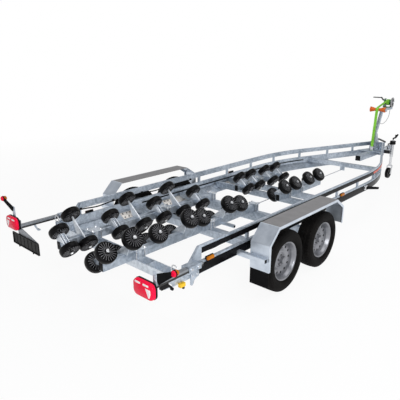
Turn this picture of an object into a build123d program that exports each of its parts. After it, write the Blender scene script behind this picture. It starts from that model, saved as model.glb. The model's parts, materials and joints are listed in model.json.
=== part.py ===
from build123d import *
import os
from math import cos, radians, sin, tan

# A boat trailer on two axles, in millimetres: +X forwards, +Y left, +Z up, standing on z = 0.
# Places along X are counted from the middle between the axles and moved to the middle of the length at the end.

# Overall reach
NOSE_X = 5800.0
REAR_X = -2095.0
MID_X = (NOSE_X + REAR_X) / 2

# Road wheels
TYRE_R = 325.0
TYRE_SPACE = 113.0
AXLE_GAP = 2 * TYRE_R + TYRE_SPACE
WHEEL_Y = 1135.0
TYRE_HALF = 94.0
TREAD_HALF = 66.0
SHOULDER_DROP = 17.0
SHOULDER_IN = 8.0
WALL_HALF_H = 20.0
BEAD_R = 190.0
BEAD_HALF = 66.0
BEAD_OUT = 4.0
FLANGE_R = 203.0
FLANGE_T = 9.0
RIM_T = 8.0
DISC_A = 22.0
HUB_R = 62.0
HUB_IN = -12.0
HUB_OUT = 52.0
CAP_R = 34.0
CAP_T = 12.0
STUB_R = 25.0
PIN_GAP = 0.3
VENT_R = 15.0
VENT_RING_R = 150.0
VENT_COUNT = 12
NUT_R = 11.0
NUT_RING_R = 48.0
NUT_H = 12.0
NUT_COUNT = 5

# Axles: a cross tube held against the rails, with arms that trail back to the wheels
TUBE_SIDE = 80.0
TUBE_Z = 312.0
ARM_LEAD = 160.0
HANGER_T = 12.0
HANGER_HALF = 90.0
HANGER_TOP = 530.0
ARM_T = 40.0
ARM_HALF_H = 42.0
DRUM_R = 138.0
DRUM_T = 60.0

# Side rails: y is the outer face, the bend turns both rails in to the nose
RAIL_Y = 929.0
RAIL_W = 28.0
RAIL_ROUND = 5.0
UPPER_LOW = 645.0
UPPER_TOP = 717.0
UPPER_REAR = -1360.0
LOWER_LOW = 456.0
LOWER_TOP = 567.0
LOWER_REAR = -1660.0
SHEET_T = 5.0
LIP_LOW = 495.0
SEAT_DROP = 84.0
SEAT_W = 129.0
SEAT_END = 3900.0
BEND_X = 2200.0
BEND_R = 3200.0
BEND_DEG = 20.0
RAIL_END = 4975.0
POST_X = (-650.0, 0.0, 650.0, 1300.0, 1930.0, 2580.0, 3220.0, 3860.0, 4480.0)
POST_L = 40.0
POST_T = 20.0
GUSSET_FOOT = -1498.0
GUSSET_FRONT = -1330.0
GUSSET_T = 6.0

# Lamp arm sleeves on the rear ends of the lower rails
ARM_Y = 995.0
ARM_Z = 595.0
ARM_SIDE = 40.0
SLEEVE_T = 6.0
SLEEVE_GAP = 0.3
SLEEVE_REAR = -1580.0
SLEEVE_FRONT = -1430.0
ARM_FRONT = -1400.0

# Cross members on the rails' slanted seats: tubes between the rollers, and a ribbed channel at the rear
CROSS_X = {"rear": (-1560.0,), "middle": (-553.0, 270.0), "front": (1037.0, 1346.0)}
CROSS_W = {"rear": 120.0, "middle": 70.0, "front": 50.0}
CROSS_H = 80.0
CHANNEL_T = 6.0
CHANNEL_RIBS = 9
CLAMP_W = 34.0
CLAMP_T = 8.0
NOSE_CROSS_X = 3450.0
NOSE_CROSS_W = 90.0
NOSE_CROSS_LOW = 470.0

# Cradle beams and the hull rollers on tilted spindles
BEAM_Y = 340.0
BEAM_W = 60.0
BEAM_LOW = 505.0
BEAM_TOP = 592.0
BEAM_ROUND = 6.0
BEAM_ENDS = {"rear": (-1965.0, 310.0), "front": (800.0, 1915.0)}
TILT = 40.0
INNER_Y = 209.0
INNER_Z = 539.0
NARROW = 217.0
WIDE = 362.0
ROLLER_R = 100.0
ROLLER_W = 66.0
ROLLER_EDGE = 11.0
ROLLER_CROWN = 3.0
ROLLER_FLAT = 24.0
ROLLER_RIM_R = 84.0
ROLLER_HUB_R = 27.0
ROLLER_DISH = 24.0
ROLLER_RIBS = 12
ROLLER_RIB_T = 4.0
ROLLER_RIB_SINK = 3.0
SPINDLE_R = 10.0
SPINDLE_CAP_R = 15.0
SPINDLE_CAP_T = 9.0
SPINDLE_PLAY = 2.0
BRACKET_W = 64.0
BRACKET_RISE = 16.0
BRACKET_T = 6.0
PLATE_T = 10.0
PAIR_X = {"rear": (-1930.0, -1725.0, -1329.0, -1011.0, -711.0, -396.0, -52.0),
          "front": (906.0, 1169.0, 1524.0, 1814.0)}

# Mudguards: one folded sheet over both wheels of a side, with a lip along its outer edge
GUARD_IN = 1058.0
GUARD_W = 214.0
GUARD_OUT = GUARD_IN + GUARD_W
GUARD_T = 4.0
GUARD_LIP = 28.0
GUARD_ROOM = 122.0
GUARD_TOP = 2 * TYRE_R + GUARD_ROOM
GUARD_REAR_ROOM = 77.5
GUARD_REAR = -AXLE_GAP / 2 - TYRE_R - GUARD_REAR_ROOM
GUARD_REAR_LOW = 360.0
GUARD_REAR_SLOPE = (148.0, 144.0)
GUARD_FRONT_ROOM = 28.5
GUARD_FRONT = AXLE_GAP / 2 + TYRE_R + GUARD_FRONT_ROOM
GUARD_FRONT_LOW = 450.0
GUARD_FRONT_SLOPE = (179.0, 117.0)
STAY_SIDE = 45.0
STAY_LOW = 460.0
STAY_INSET = 22.0
STAY_OUT = GUARD_OUT - STAY_INSET
STAY_WALL = 4.0
STAY_DEPTH = 60.0
FLAP_T = 6.0
FLAP_LOW = 195.0
FLAP_TOP = 410.0

# Drawbar, foot plate and nose plate
BAR_REAR = 4093.0
BAR_HALF = 50.0
BAR_LOW = 467.0
FOOT_REAR = 4620.0
FOOT_T = 10.0
FOOT_Y = 240.0
FOOT_FRONT_Y = 118.0
NOSE_T = 12.0
NOSE_Y = 150.0

# Overrun coupling
HOUSING_END = 5420.0
HOUSING_HALF = 50.0
HOUSING_LOW = 462.0
HOUSING_TOP = 562.0
SHAFT_Z = 512.0
SHAFT_R = 26.0
BELLOWS_R = 40.0
BELLOWS_N = 5
BELLOWS_END = 5530.0
HEAD_REAR = 5600.0
HEAD_R = 55.0
HEAD_HALF = 44.0
HEAD_LOW = 440.0
HEAD_TOP = 545.0
BALL_R = 25.2
BALL_DEPTH = 62.0
GRIP_R = 11.0

# Hand brake lever and brake rod
LEVER_Y = 66.0
LEVER_PIVOT = (5150.0, 540.0)
LEVER_KNEE = (5200.0, 742.0)
LEVER_TIP = (5610.0, 625.0)
LEVER_R = 13.0
LEVER_GRIP_R = 17.0
ROD_R = 7.0
ROD_REAR_Z = 380.0
ROD_FRONT_Z = 412.0
HANGER_LOW = 396.0
ROD_HANGER_T = 14.0
ROD_HANGER_HALF = 40.0

# Winch post, winch, strap and bow roller, all in the middle plane
POST_FOOT = (4760.0, 4960.0)
POST_FOOT_HALF = 36.0
POST_WAIST = (4770.0, 4850.0)
POST_WAIST_Z = 900.0
POST_HEAD = (4980.0, 5060.0)
POST_HEAD_Z = 1330.0
POST_HALF = 22.0
BEARER = (4880.0, 5480.0)
BEARER_HALF = 38.0
BEARER_H = 50.0
BOW_X = 4800.0
BOW_Z = 1370.0
BOW_HALF = 140.0
BOW_R = 52.0
BOW_NECK_R = 26.0
BOW_PIN_R = 9.0
FORK_T = 6.0
FORK_GAP = 5.0
WINCH_X = 5320.0
WINCH_HALF = 70.0
WINCH_CHEEK_T = 6.0
WINCH_H = 170.0
WINCH_L = 190.0
DRUM_HALF_R = 42.0
DRUM_Z = 1478.0
GEAR_R = 92.0
GEAR_T = 14.0
CRANK_R = 10.0
CRANK_GRIP_R = 15.0
CRANK_OUT = 190.0
CRANK_DROP = 210.0
STRAP_HALF = 26.0
STRAP_T = 4.0
STRAP_FOOT = (4706.0, 577.0)
CABLE_R = 4.0
CABLE_ROUTE = ((5460.0, 1330.0), (5460.0, 1266.0), (5434.0, 1196.0), (5380.0, 1140.0), (5300.0, 1096.0),
               (5205.0, 1068.0), (5105.0, 1060.0), (5010.1, 1081.9), (4952.6, 1110.0))
CABLE_SHARE = 0.45

# Jockey wheel on the right of the housing
JOCKEY_X = 5100.0
JOCKEY_Y = -262.0
JOCKEY_R = 107.0
JOCKEY_W = 70.0
JOCKEY_ROOM = 5.0
JOCKEY_DISC_R = 66.0
JOCKEY_WALL = 30.0
JOCKEY_DISH = 17.5
JOCKEY_TRAIL = 55.0
OUTER_R = 32.0
OUTER_LOW = 430.0
OUTER_TOP = 760.0
CAVITY_TOP = 745.0
STEM_R = 25.0
STEM_LOW = 262.0
STEM_TOP = 590.0
FORK_PLATE_T = 8.0
SWIVEL_R = 34.0
SWIVEL_H = 22.0
JOCKEY_PIN_R = 10.0

# Lamp boards
LAMP_Y = 1040.0
LAMP_W = 232.0
LAMP_Z = 640.0
LAMP_H = 138.0
LAMP_T = 48.0
LAMP_ROUND = 45.0
MARKER_R = 26.0
MARKER_T = 40.0
MARKER_TIP = {"left": (-2070.0, 1208.0, 866.0), "right": (-1930.0, 1208.0, 766.0)}
PLATE_Y = (575.0, 1110.0)
PLATE_Z = (398.0, 522.0)
PLATE_HOLDER_T = 14.0


ON_BASE = (Align.CENTER, Align.CENTER, Align.MIN)


def block(x0, x1, y0, y1, z0, z1):
    """A box between two corners."""
    return Pos((x0 + x1) / 2, (y0 + y1) / 2, (z0 + z1) / 2) * Box(x1 - x0, y1 - y0, z1 - z0)


def rod(start, end, radius):
    """A round bar from one point to another."""
    a, b = Vector(*start), Vector(*end)
    return Plane(origin=a, z_dir=b - a) * Cylinder(radius, (b - a).length, align=ON_BASE)


def across(sketch, y0, y1):
    """A sketch drawn in X and Z, given its depth from y0 to y1."""
    return extrude(Plane(origin=(0, y1, 0), x_dir=(1, 0, 0), z_dir=(0, -1, 0)) * sketch, amount=y1 - y0)


def along(sketch, x0, x1):
    """A sketch drawn in Y and Z, given its length from x0 to x1."""
    return extrude(Plane(origin=(x0, 0, 0), x_dir=(0, 1, 0), z_dir=(1, 0, 0)) * sketch, amount=x1 - x0)


def outline(*points):
    """A face with straight edges through the points."""
    return make_face(Polyline(*points, close=True))


def folded(points, thick):
    """The section of a folded sheet: the points, and the same fold moved to its left by the thickness."""
    chain = [Vector(*p) for p in points]
    sides = [(b - a).normalized().rotate(Axis.Z, 90) for a, b in zip(chain, chain[1:])]
    before, after = [sides[0]] + sides, sides + [sides[-1]]
    moved = [p + (m + n) * (thick / (1 + m.dot(n))) for p, m, n in zip(chain, before, after)]
    return outline(*chain, *reversed(moved))


def turned(points):
    """A solid of revolution about Z from points of radius and height."""
    return revolve(Plane.XZ * outline(*points), Axis.Z)


def both(solid):
    """A left piece and its right twin."""
    return solid, mirror(solid, about=Plane.XZ)


def save(node, *solids):
    """Writes a node, moved so that the middle of the trailer's length is at x = 0."""
    placed = [Pos(-MID_X, 0, 0) * s for s in solids]
    export_step(placed[0] if len(placed) == 1 else Compound(children=placed), f"parts/{node}.step")


# Side rails

def bend_end():
    """Where the bend of a rail's outer face ends."""
    turn = radians(BEND_DEG)
    return BEND_X + BEND_R * sin(turn), RAIL_Y - BEND_R * (1 - cos(turn))


def rail_y(x):
    """The outer face of the left rail at a place along the trailer, past the bend or before it."""
    end_x, end_y = bend_end()
    if x <= BEND_X:
        return RAIL_Y
    if x >= end_x:
        return end_y - (x - end_x) * tan(radians(BEND_DEG))
    return RAIL_Y - BEND_R + (BEND_R ** 2 - (x - BEND_X) ** 2) ** 0.5


def rail_turn(x):
    """The angle of the left rail to the trailer's length, in degrees."""
    end_x, end_y = bend_end()
    return BEND_DEG * min(max((x - BEND_X) / (end_x - BEND_X), 0), 1)


def rail(section, rear):
    """A section swept along the left rail's line and cut square at the nose."""
    first = Line((rear, RAIL_Y), (BEND_X, RAIL_Y))
    bend = JernArc(start=(BEND_X, RAIL_Y), tangent=(1, 0), radius=BEND_R, arc_size=-BEND_DEG)
    reach = (RAIL_END + RAIL_W - BEND_X) / cos(radians(BEND_DEG))
    last = Line(bend @ 1, (bend @ 1) + (bend % 1) * reach)
    start = Plane(origin=(rear, 0, 0), x_dir=(0, 1, 0), z_dir=(1, 0, 0))
    swept = sweep(start * section, path=Wire([first, bend, last]))
    return swept - block(RAIL_END, RAIL_END + 2 * reach, -2 * RAIL_Y, RAIL_Y, 0, 2 * UPPER_TOP)


def upper_rail():
    section = Pos(RAIL_Y - RAIL_W / 2, (UPPER_LOW + UPPER_TOP) / 2) * RectangleRounded(
        RAIL_W, UPPER_TOP - UPPER_LOW, RAIL_ROUND)
    return rail(section, UPPER_REAR)


def lower_rail():
    """A folded rail with a lip inside and a slanted seat below, with posts, gusset and lamp arm sleeve."""
    inner = RAIL_Y - RAIL_W
    fold = ((inner, LIP_LOW), (inner, LOWER_TOP), (RAIL_Y, LOWER_TOP), (RAIL_Y, LOWER_LOW),
            (RAIL_Y - SEAT_W, LOWER_LOW - SEAT_DROP))
    body = rail(folded(fold, -SHEET_T), LOWER_REAR)
    body -= block(SEAT_END, NOSE_X, -RAIL_Y, RAIL_Y, 0, LOWER_LOW)
    for x in POST_X:
        post = Box(POST_L, POST_T, UPPER_LOW - LOWER_TOP)
        middle = rail_y(x) - RAIL_W / 2
        body += Pos(x, middle, (UPPER_LOW + LOWER_TOP) / 2) * Rot(0, 0, -rail_turn(x)) * post
    return body + gusset() + sleeve()


def gusset():
    """The sloped plate and strap that close the rear end of the upper rail."""
    plate = outline((GUSSET_FOOT, LOWER_TOP), (GUSSET_FRONT, LOWER_TOP), (GUSSET_FRONT, UPPER_LOW),
                    (UPPER_REAR, UPPER_LOW), (UPPER_REAR, UPPER_TOP))
    fall = (UPPER_TOP - LOWER_TOP) / (UPPER_REAR - GUSSET_FOOT)
    strap = folded(((UPPER_REAR - GUSSET_T, UPPER_TOP - GUSSET_T * fall), (GUSSET_FOOT, LOWER_TOP),
                    (GUSSET_FOOT + POST_L, LOWER_TOP)), GUSSET_T)
    return across(plate, RAIL_Y - GUSSET_T, RAIL_Y) + across(strap, RAIL_Y - RAIL_W, RAIL_Y)


def sleeve():
    """The square sleeve that a lamp arm slides in, held off the rail by a block."""
    hole = ARM_SIDE / 2 + SLEEVE_GAP
    outer = hole + SLEEVE_T
    ring = Rectangle(2 * outer, 2 * outer) - Rectangle(2 * hole, 2 * hole)
    body = along(Pos(ARM_Y, ARM_Z) * ring, SLEEVE_REAR, SLEEVE_FRONT)
    foot_low = LOWER_TOP - ARM_SIDE
    return body + block(SLEEVE_REAR, SLEEVE_FRONT, RAIL_Y, ARM_Y - hole - SLEEVE_GAP, foot_low, ARM_Z + hole)


# Cross members

def seat_rise():
    """How far the seat's upper face lies above its lower one."""
    return SHEET_T * (SEAT_W ** 2 + SEAT_DROP ** 2) ** 0.5 / SEAT_W


def seat_z(y):
    """The upper face of the left rail's slanted seat at a distance from the middle."""
    return LOWER_LOW + seat_rise() - SEAT_DROP * (RAIL_Y - y) / SEAT_W


def seat_y(z):
    """The distance from the middle where the seat's upper face has this height."""
    return RAIL_Y - SEAT_W * (LOWER_LOW + seat_rise() - z) / SEAT_DROP


def cross_member(x, width, hollow):
    """A level cross member under the beams, its ends cut to lie on the rails' seats against their lips."""
    end = RAIL_Y - RAIL_W
    low = BEAM_LOW - CROSS_H
    half = ((end, BEAM_LOW), (end, seat_z(end)), (seat_y(low), low))
    body = along(outline(*half, *((-y, z) for y, z in reversed(half))), x - width / 2, x + width / 2)
    if hollow:
        body -= channel_space(x, width)
    for clamp in both(beam_clamp(x, width)):
        body += clamp
    return body


def channel_space(x, width):
    """The room in a channel that is open at the top, between its ribs."""
    reach = seat_y(BEAM_LOW - CROSS_H)
    pitch = 2 * reach / (CHANNEL_RIBS + 1)
    cell = block(-width / 2 + CHANNEL_T, width / 2 - CHANNEL_T, CHANNEL_T / 2, pitch - CHANNEL_T / 2,
                 CHANNEL_T - CROSS_H, CHANNEL_T)
    return [Pos(x, -reach + pitch * k, BEAM_LOW) * cell for k in range(CHANNEL_RIBS + 1)]


def beam_clamp(x, width):
    """The pad under the left beam and the strap that holds the beam down on it."""
    half = BEAM_W / 2 + CLAMP_T
    pad = block(x - width / 2, x + width / 2, BEAM_Y - half, BEAM_Y + half, BEAM_LOW - 2 * CLAMP_T, BEAM_LOW)
    section = RectangleRounded(BEAM_W, BEAM_TOP - BEAM_LOW, BEAM_ROUND)
    strap = Rectangle(2 * half, BEAM_TOP - BEAM_LOW + 2 * CLAMP_T) - section
    strap = along(Pos(BEAM_Y, (BEAM_LOW + BEAM_TOP) / 2) * strap, x - CLAMP_W / 2, x + CLAMP_W / 2)
    return pad + strap


def nose_cross():
    """The flat cross member ahead of the cradle, cut to fit between the bent rails."""
    reach = rail_y(NOSE_CROSS_X - NOSE_CROSS_W / 2)
    half = NOSE_CROSS_W / 2
    body = block(NOSE_CROSS_X - half, NOSE_CROSS_X + half, -reach, reach, NOSE_CROSS_LOW, LIP_LOW + POST_L)
    rail_space = Pos(RAIL_Y + RAIL_W, LOWER_TOP / 2) * Rectangle(4 * RAIL_W, LOWER_TOP)
    for space in both(rail(rail_space, LOWER_REAR)):
        body -= space
    hanger = block(NOSE_CROSS_X - ROD_HANGER_T / 2, NOSE_CROSS_X + ROD_HANGER_T / 2, -ROD_HANGER_HALF,
                   ROD_HANGER_HALF, HANGER_LOW, NOSE_CROSS_LOW)
    return body + hanger - brake_rod_bar(ROD_R)


# Cradle beams and rollers

def spindle_frame(x):
    """The left inner roller's middle with Z out along the spindle, X along the trailer and Y to below."""
    tilt = radians(TILT)
    return Plane(origin=(x, INNER_Y, INNER_Z), x_dir=(1, 0, 0), z_dir=(0, cos(tilt), sin(tilt)))


def pairs(row):
    """The places and spacings of a row's roller pairs: the rear row takes narrow and wide pairs in turn."""
    spacings = (NARROW, NARROW) if row == "front" else (NARROW, WIDE)
    return [(x, spacings[k % 2]) for k, x in enumerate(PAIR_X[row])]


def roller():
    """A dished roller with a crowned tread, a hub and ribs across both dishes, its axis along Z."""
    half, floor = ROLLER_W / 2, ROLLER_W / 2 - ROLLER_DISH
    bore = SPINDLE_R + PIN_GAP
    edge = ((bore, half), (ROLLER_HUB_R, half), (ROLLER_HUB_R, floor), (ROLLER_RIM_R, floor),
            (ROLLER_RIM_R, half), (ROLLER_R - ROLLER_EDGE, half),
            (ROLLER_R - ROLLER_CROWN, half - ROLLER_EDGE), (ROLLER_R, half - ROLLER_FLAT))
    body = turned([*edge, *((r, -a) for r, a in reversed(edge))])
    rib = Box(ROLLER_RIM_R - ROLLER_HUB_R + ROLLER_RIB_T, ROLLER_RIB_T, ROLLER_W - 2 * ROLLER_RIB_SINK)
    return body + [spot * rib for spot in PolarLocations((ROLLER_HUB_R + ROLLER_RIM_R) / 2, ROLLER_RIBS)]


def roller_pair(x, spacing):
    """Both rollers of a left pair, on one spindle."""
    wheel = roller()
    return spindle_frame(x) * wheel, spindle_frame(x) * Pos(0, 0, spacing) * wheel


def spindle(spacing):
    """The spindle of a pair with a cap outside each roller, along Z from the inner roller's middle."""
    low = -ROLLER_W / 2 - SPINDLE_PLAY
    high = spacing - low
    bar = rod((0, 0, low), (0, 0, high), SPINDLE_R)
    bar += rod((0, 0, low - SPINDLE_CAP_T), (0, 0, low), SPINDLE_CAP_R)
    return bar + rod((0, 0, high), (0, 0, high + SPINDLE_CAP_T), SPINDLE_CAP_R)


def channel_bracket(x):
    """The channel under a narrow pair: its web faces up, its flanges reach down to the beam."""
    gap = ROLLER_W / 2 + SPINDLE_PLAY * 3
    depth = BRACKET_W
    body = block(-BRACKET_W / 2, BRACKET_W / 2, -BRACKET_RISE, depth, gap, NARROW - gap)
    inside = BRACKET_W / 2 - BRACKET_T
    body -= block(-inside, inside, -2 * BRACKET_RISE, BRACKET_RISE, gap + BRACKET_T, NARROW - gap - BRACKET_T)
    body += spindle(NARROW)
    return spindle_frame(x) * body


def plate_bracket(x):
    """The thin upright plate under a wide pair."""
    gap = ROLLER_W / 2 + SPINDLE_PLAY * 3
    high = WIDE - gap
    foot = BRACKET_W + BRACKET_RISE
    plate = make_face(Polyline((SPINDLE_R, gap), (foot, gap), (foot, NARROW - gap), (SPINDLE_R, high),
                               (0, high), (0, gap), close=True))
    flat = Plane(origin=(-PLATE_T / 2, 0, 0), x_dir=(0, 1, 0), z_dir=(1, 0, 0))
    return spindle_frame(x) * (extrude(flat * plate, amount=PLATE_T) + spindle(WIDE))


def beam(row):
    """A left cradle beam with the brackets and spindles of its rollers."""
    x0, x1 = BEAM_ENDS[row]
    section = Pos(BEAM_Y, (BEAM_LOW + BEAM_TOP) / 2) * RectangleRounded(BEAM_W, BEAM_TOP - BEAM_LOW, BEAM_ROUND)
    body = along(section, x0, x1)
    below = block(x0, x1, 0, 2 * BEAM_Y, 0, (BEAM_LOW + BEAM_TOP) / 2)
    for x, spacing in pairs(row):
        bracket = channel_bracket(x) if spacing == NARROW else plate_bracket(x)
        body += bracket - below
    return body


# Axles and road wheels

def axle_x(k):
    return (k - 0.5) * AXLE_GAP


def wheel_frame(x):
    """A left wheel's middle with Z outwards."""
    return Plane(origin=(x, WHEEL_Y, TYRE_R), x_dir=(1, 0, 0), z_dir=(0, 1, 0))


def axle(x):
    """One axle: tube, hangers against the rails, trailing arms, drums and stub spindles."""
    tube_x = x + ARM_LEAD
    half = TUBE_SIDE / 2
    end = RAIL_Y + HANGER_T
    body = block(tube_x - half, tube_x + half, -end, end, TUBE_Z - half, TUBE_Z + half)
    for side in both(axle_side(x, tube_x)):
        body += side
    return body


def axle_side(x, tube_x):
    half = TUBE_SIDE / 2
    low = TUBE_Z - half - HANGER_T
    end = RAIL_Y + HANGER_T
    plate = across(outline((tube_x - half, low), (tube_x + half, low), (tube_x + HANGER_HALF, LOWER_LOW),
                           (tube_x + HANGER_HALF, HANGER_TOP), (tube_x - HANGER_HALF, HANGER_TOP),
                           (tube_x - HANGER_HALF, LOWER_LOW)), RAIL_Y, end)
    ends = (Pos(tube_x, TUBE_Z) * Circle(ARM_HALF_H), Pos(x, TYRE_R) * Circle(ARM_HALF_H))
    arm = across(make_hull(ends[0].edges() + ends[1].edges()), end, end + ARM_T)
    drum_in = WHEEL_Y + HUB_IN - PIN_GAP * 10 - DRUM_T
    drum = rod((x, drum_in, TYRE_R), (x, drum_in + DRUM_T, TYRE_R), DRUM_R)
    stub = rod((x, end, TYRE_R), (x, WHEEL_Y + HUB_OUT - CAP_T, TYRE_R), STUB_R)
    return plate + arm + drum + stub


def tyre():
    """A road tyre, solid inside, its axis along Z: tread, shoulder, bulging wall and bead of each side."""
    shoulder_r = TYRE_R - SHOULDER_DROP
    bulge_r = (FLANGE_R + shoulder_r) / 2
    side = ((BEAD_R, BEAD_HALF), (FLANGE_R, BEAD_HALF), (FLANGE_R, BEAD_HALF + BEAD_OUT),
            (bulge_r - WALL_HALF_H, TYRE_HALF), (bulge_r + WALL_HALF_H, TYRE_HALF),
            (shoulder_r, TYRE_HALF - SHOULDER_IN), (TYRE_R, TREAD_HALF))
    return turned([*side, *((r, -a) for r, a in reversed(side))])


def rim():
    """A steel rim: barrel with flanges, disc with vents, hub with nuts and a closed cap."""
    edge = BEAD_HALF + FLANGE_T
    bore = STUB_R + PIN_GAP
    inner = BEAD_R - RIM_T
    body = turned(((inner, -edge), (FLANGE_R, -edge), (FLANGE_R, -BEAD_HALF), (BEAD_R, -BEAD_HALF),
                   (BEAD_R, BEAD_HALF), (FLANGE_R, BEAD_HALF), (FLANGE_R, edge), (inner, edge)))
    disc = ((bore, HUB_IN), (HUB_R, HUB_IN), (HUB_R, DISC_A), (inner, DISC_A + RIM_T * 2), (inner, DISC_A + RIM_T * 3),
            (HUB_R, DISC_A + RIM_T), (CAP_R, DISC_A + RIM_T), (CAP_R, HUB_OUT + CAP_T), (0, HUB_OUT + CAP_T),
            (0, HUB_OUT), (bore, HUB_OUT))
    body += turned(disc)
    nut = Pos(0, 0, DISC_A + RIM_T + NUT_H / 2) * Cylinder(NUT_R, NUT_H)
    vent = Pos(0, 0, DISC_A + RIM_T) * Cylinder(VENT_R, RIM_T * 10)
    body += [spot * nut for spot in PolarLocations(NUT_RING_R, NUT_COUNT)]
    return body - [spot * vent for spot in PolarLocations(VENT_RING_R, VENT_COUNT)]


# Mudguards

def guard():
    """The left mudguard: folded sheet, outer lip and the two tubes that hold it off the lower rail."""
    rear_run, rear_fall = GUARD_REAR_SLOPE
    front_run, front_fall = GUARD_FRONT_SLOPE
    shape = ((GUARD_REAR, GUARD_REAR_LOW), (GUARD_REAR, GUARD_TOP - rear_fall), (GUARD_REAR + rear_run, GUARD_TOP),
             (GUARD_FRONT - front_run, GUARD_TOP), (GUARD_FRONT, GUARD_TOP - front_fall),
             (GUARD_FRONT, GUARD_FRONT_LOW))
    body = across(folded(shape, -GUARD_T), GUARD_IN, GUARD_OUT)
    body += across(folded(shape, -GUARD_LIP), GUARD_OUT - GUARD_T, GUARD_OUT)
    return body + stay(GUARD_REAR - STAY_SIDE, GUARD_REAR) + stay(GUARD_FRONT, GUARD_FRONT + STAY_SIDE)


def stay(x0, x1):
    tube = block(x0, x1, RAIL_Y, STAY_OUT, STAY_LOW, STAY_LOW + STAY_SIDE)
    w = STAY_WALL
    return tube - block(x0 + w, x1 - w, STAY_OUT - STAY_DEPTH, STAY_OUT + w, STAY_LOW + w, STAY_LOW + STAY_SIDE - w)


def flap():
    rear = GUARD_REAR + GUARD_T
    return block(rear, rear + FLAP_T, GUARD_IN, GUARD_OUT - GUARD_T, FLAP_LOW, FLAP_TOP)


# Front end

def drawbar():
    """The middle tube, the foot plate over the lower rails and the nose plate that ends them all."""
    tube = block(BAR_REAR, RAIL_END, -BAR_HALF, BAR_HALF, BAR_LOW, LOWER_TOP)
    plan = outline((FOOT_REAR, -FOOT_Y), (RAIL_END, -FOOT_FRONT_Y), (RAIL_END, FOOT_FRONT_Y), (FOOT_REAR, FOOT_Y))
    plate = Pos(0, 0, LOWER_TOP) * extrude(plan, amount=FOOT_T)
    nose = block(RAIL_END, RAIL_END + NOSE_T, -NOSE_Y, NOSE_Y, LOWER_LOW, UPPER_TOP)
    return tube + plate + nose


def coupling():
    """The overrun housing, bellows, shaft and a head with a socket for the ball."""
    start = RAIL_END + NOSE_T
    mid_z = (HOUSING_LOW + HOUSING_TOP) / 2
    section = RectangleRounded(2 * HOUSING_HALF, HOUSING_TOP - HOUSING_LOW, 2 * RAIL_ROUND)
    body = along(Pos(0, mid_z) * section, start, HOUSING_END)
    body += rod((HOUSING_END, 0, SHAFT_Z), (HEAD_REAR + HEAD_R, 0, SHAFT_Z), SHAFT_R)
    pitch = (BELLOWS_END - HOUSING_END) / BELLOWS_N
    for k in range(BELLOWS_N):
        x = HOUSING_END + pitch * k
        body += Plane(origin=(x, 0, SHAFT_Z), z_dir=(1, 0, 0)) * Cone(BELLOWS_R, SHAFT_R, pitch, align=ON_BASE)
    ball_x = NOSE_X - HEAD_R
    body += block(HEAD_REAR, ball_x, -HEAD_HALF, HEAD_HALF, HEAD_LOW, HEAD_TOP)
    body += rod((ball_x, 0, HEAD_LOW), (ball_x, 0, HEAD_TOP), HEAD_R)
    body -= rod((ball_x, 0, HEAD_LOW - 1), (ball_x, 0, HEAD_LOW + BALL_DEPTH), BALL_R)
    grip_z = HEAD_TOP + 4 * GRIP_R
    for x in (HEAD_REAR + 2 * GRIP_R, ball_x - GRIP_R):
        body += rod((x, 0, HEAD_TOP - GRIP_R), (x, 0, grip_z), GRIP_R)
    return body + rod((HEAD_REAR + GRIP_R, 0, grip_z), (ball_x, 0, grip_z), GRIP_R)


def hand_brake():
    """The lever on the left of the housing, with its grip lying forwards."""
    pivot = (LEVER_PIVOT[0], LEVER_Y, LEVER_PIVOT[1])
    knee = (LEVER_KNEE[0], LEVER_Y, LEVER_KNEE[1])
    tip = (LEVER_TIP[0], LEVER_Y, LEVER_TIP[1])
    boss = rod((pivot[0], HOUSING_HALF, pivot[2]), (pivot[0], LEVER_Y, pivot[2]), LEVER_R)
    return boss + rod(pivot, knee, LEVER_R) + Pos(*knee) * Sphere(LEVER_GRIP_R) + rod(knee, tip, LEVER_GRIP_R)


def brake_rod_bar(radius):
    """The brake rod along the middle, from the front axle to the hanger under the nose cross member."""
    rear = axle_x(1) + ARM_LEAD
    return rod((rear, 0, ROD_REAR_Z), (NOSE_CROSS_X + ROD_HANGER_T, 0, ROD_FRONT_Z), radius)


def brake_rod():
    """The rod with its balance block on the front axle."""
    x = axle_x(1) + ARM_LEAD
    half = ROD_HANGER_HALF / 2
    return brake_rod_bar(ROD_R) + block(x - half, x + half, -half, half, TUBE_Z + TUBE_SIDE / 2, ROD_REAR_Z + half)


# Winch post

def winch_post():
    """A post on a wide foot, leaning forwards to a level bearer, and the fork and pin of the bow roller."""
    foot_z = LOWER_TOP + FOOT_T
    waist = ((POST_WAIST[1], POST_WAIST_Z), (POST_WAIST[0], POST_WAIST_Z))
    body = across(outline((POST_FOOT[0], foot_z), (POST_FOOT[1], foot_z), *waist), -POST_FOOT_HALF, POST_FOOT_HALF)
    body += across(outline((POST_HEAD[0], POST_HEAD_Z), (POST_HEAD[1], POST_HEAD_Z), *waist), -POST_HALF, POST_HALF)
    body += block(*BEARER, -BEARER_HALF, BEARER_HALF, POST_HEAD_Z, POST_HEAD_Z + BEARER_H)
    fork_in = BOW_HALF + FORK_GAP
    fork_x = BOW_X + BOW_R + BOW_PIN_R + FORK_GAP
    body += block(fork_x, BEARER[0], -fork_in, fork_in, POST_HEAD_Z, POST_HEAD_Z + BEARER_H)
    for y in (-fork_in - FORK_T, fork_in):
        cheek = outline((BOW_X - 2 * BOW_PIN_R, BOW_Z - 2 * BOW_PIN_R), (BEARER[0], POST_HEAD_Z),
                        (BEARER[0], POST_HEAD_Z + BEARER_H), (BOW_X - 2 * BOW_PIN_R, BOW_Z + 2 * BOW_PIN_R))
        body += across(cheek, y, y + FORK_T)
    return body + rod((BOW_X, -fork_in, BOW_Z), (BOW_X, fork_in, BOW_Z), BOW_PIN_R)


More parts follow.
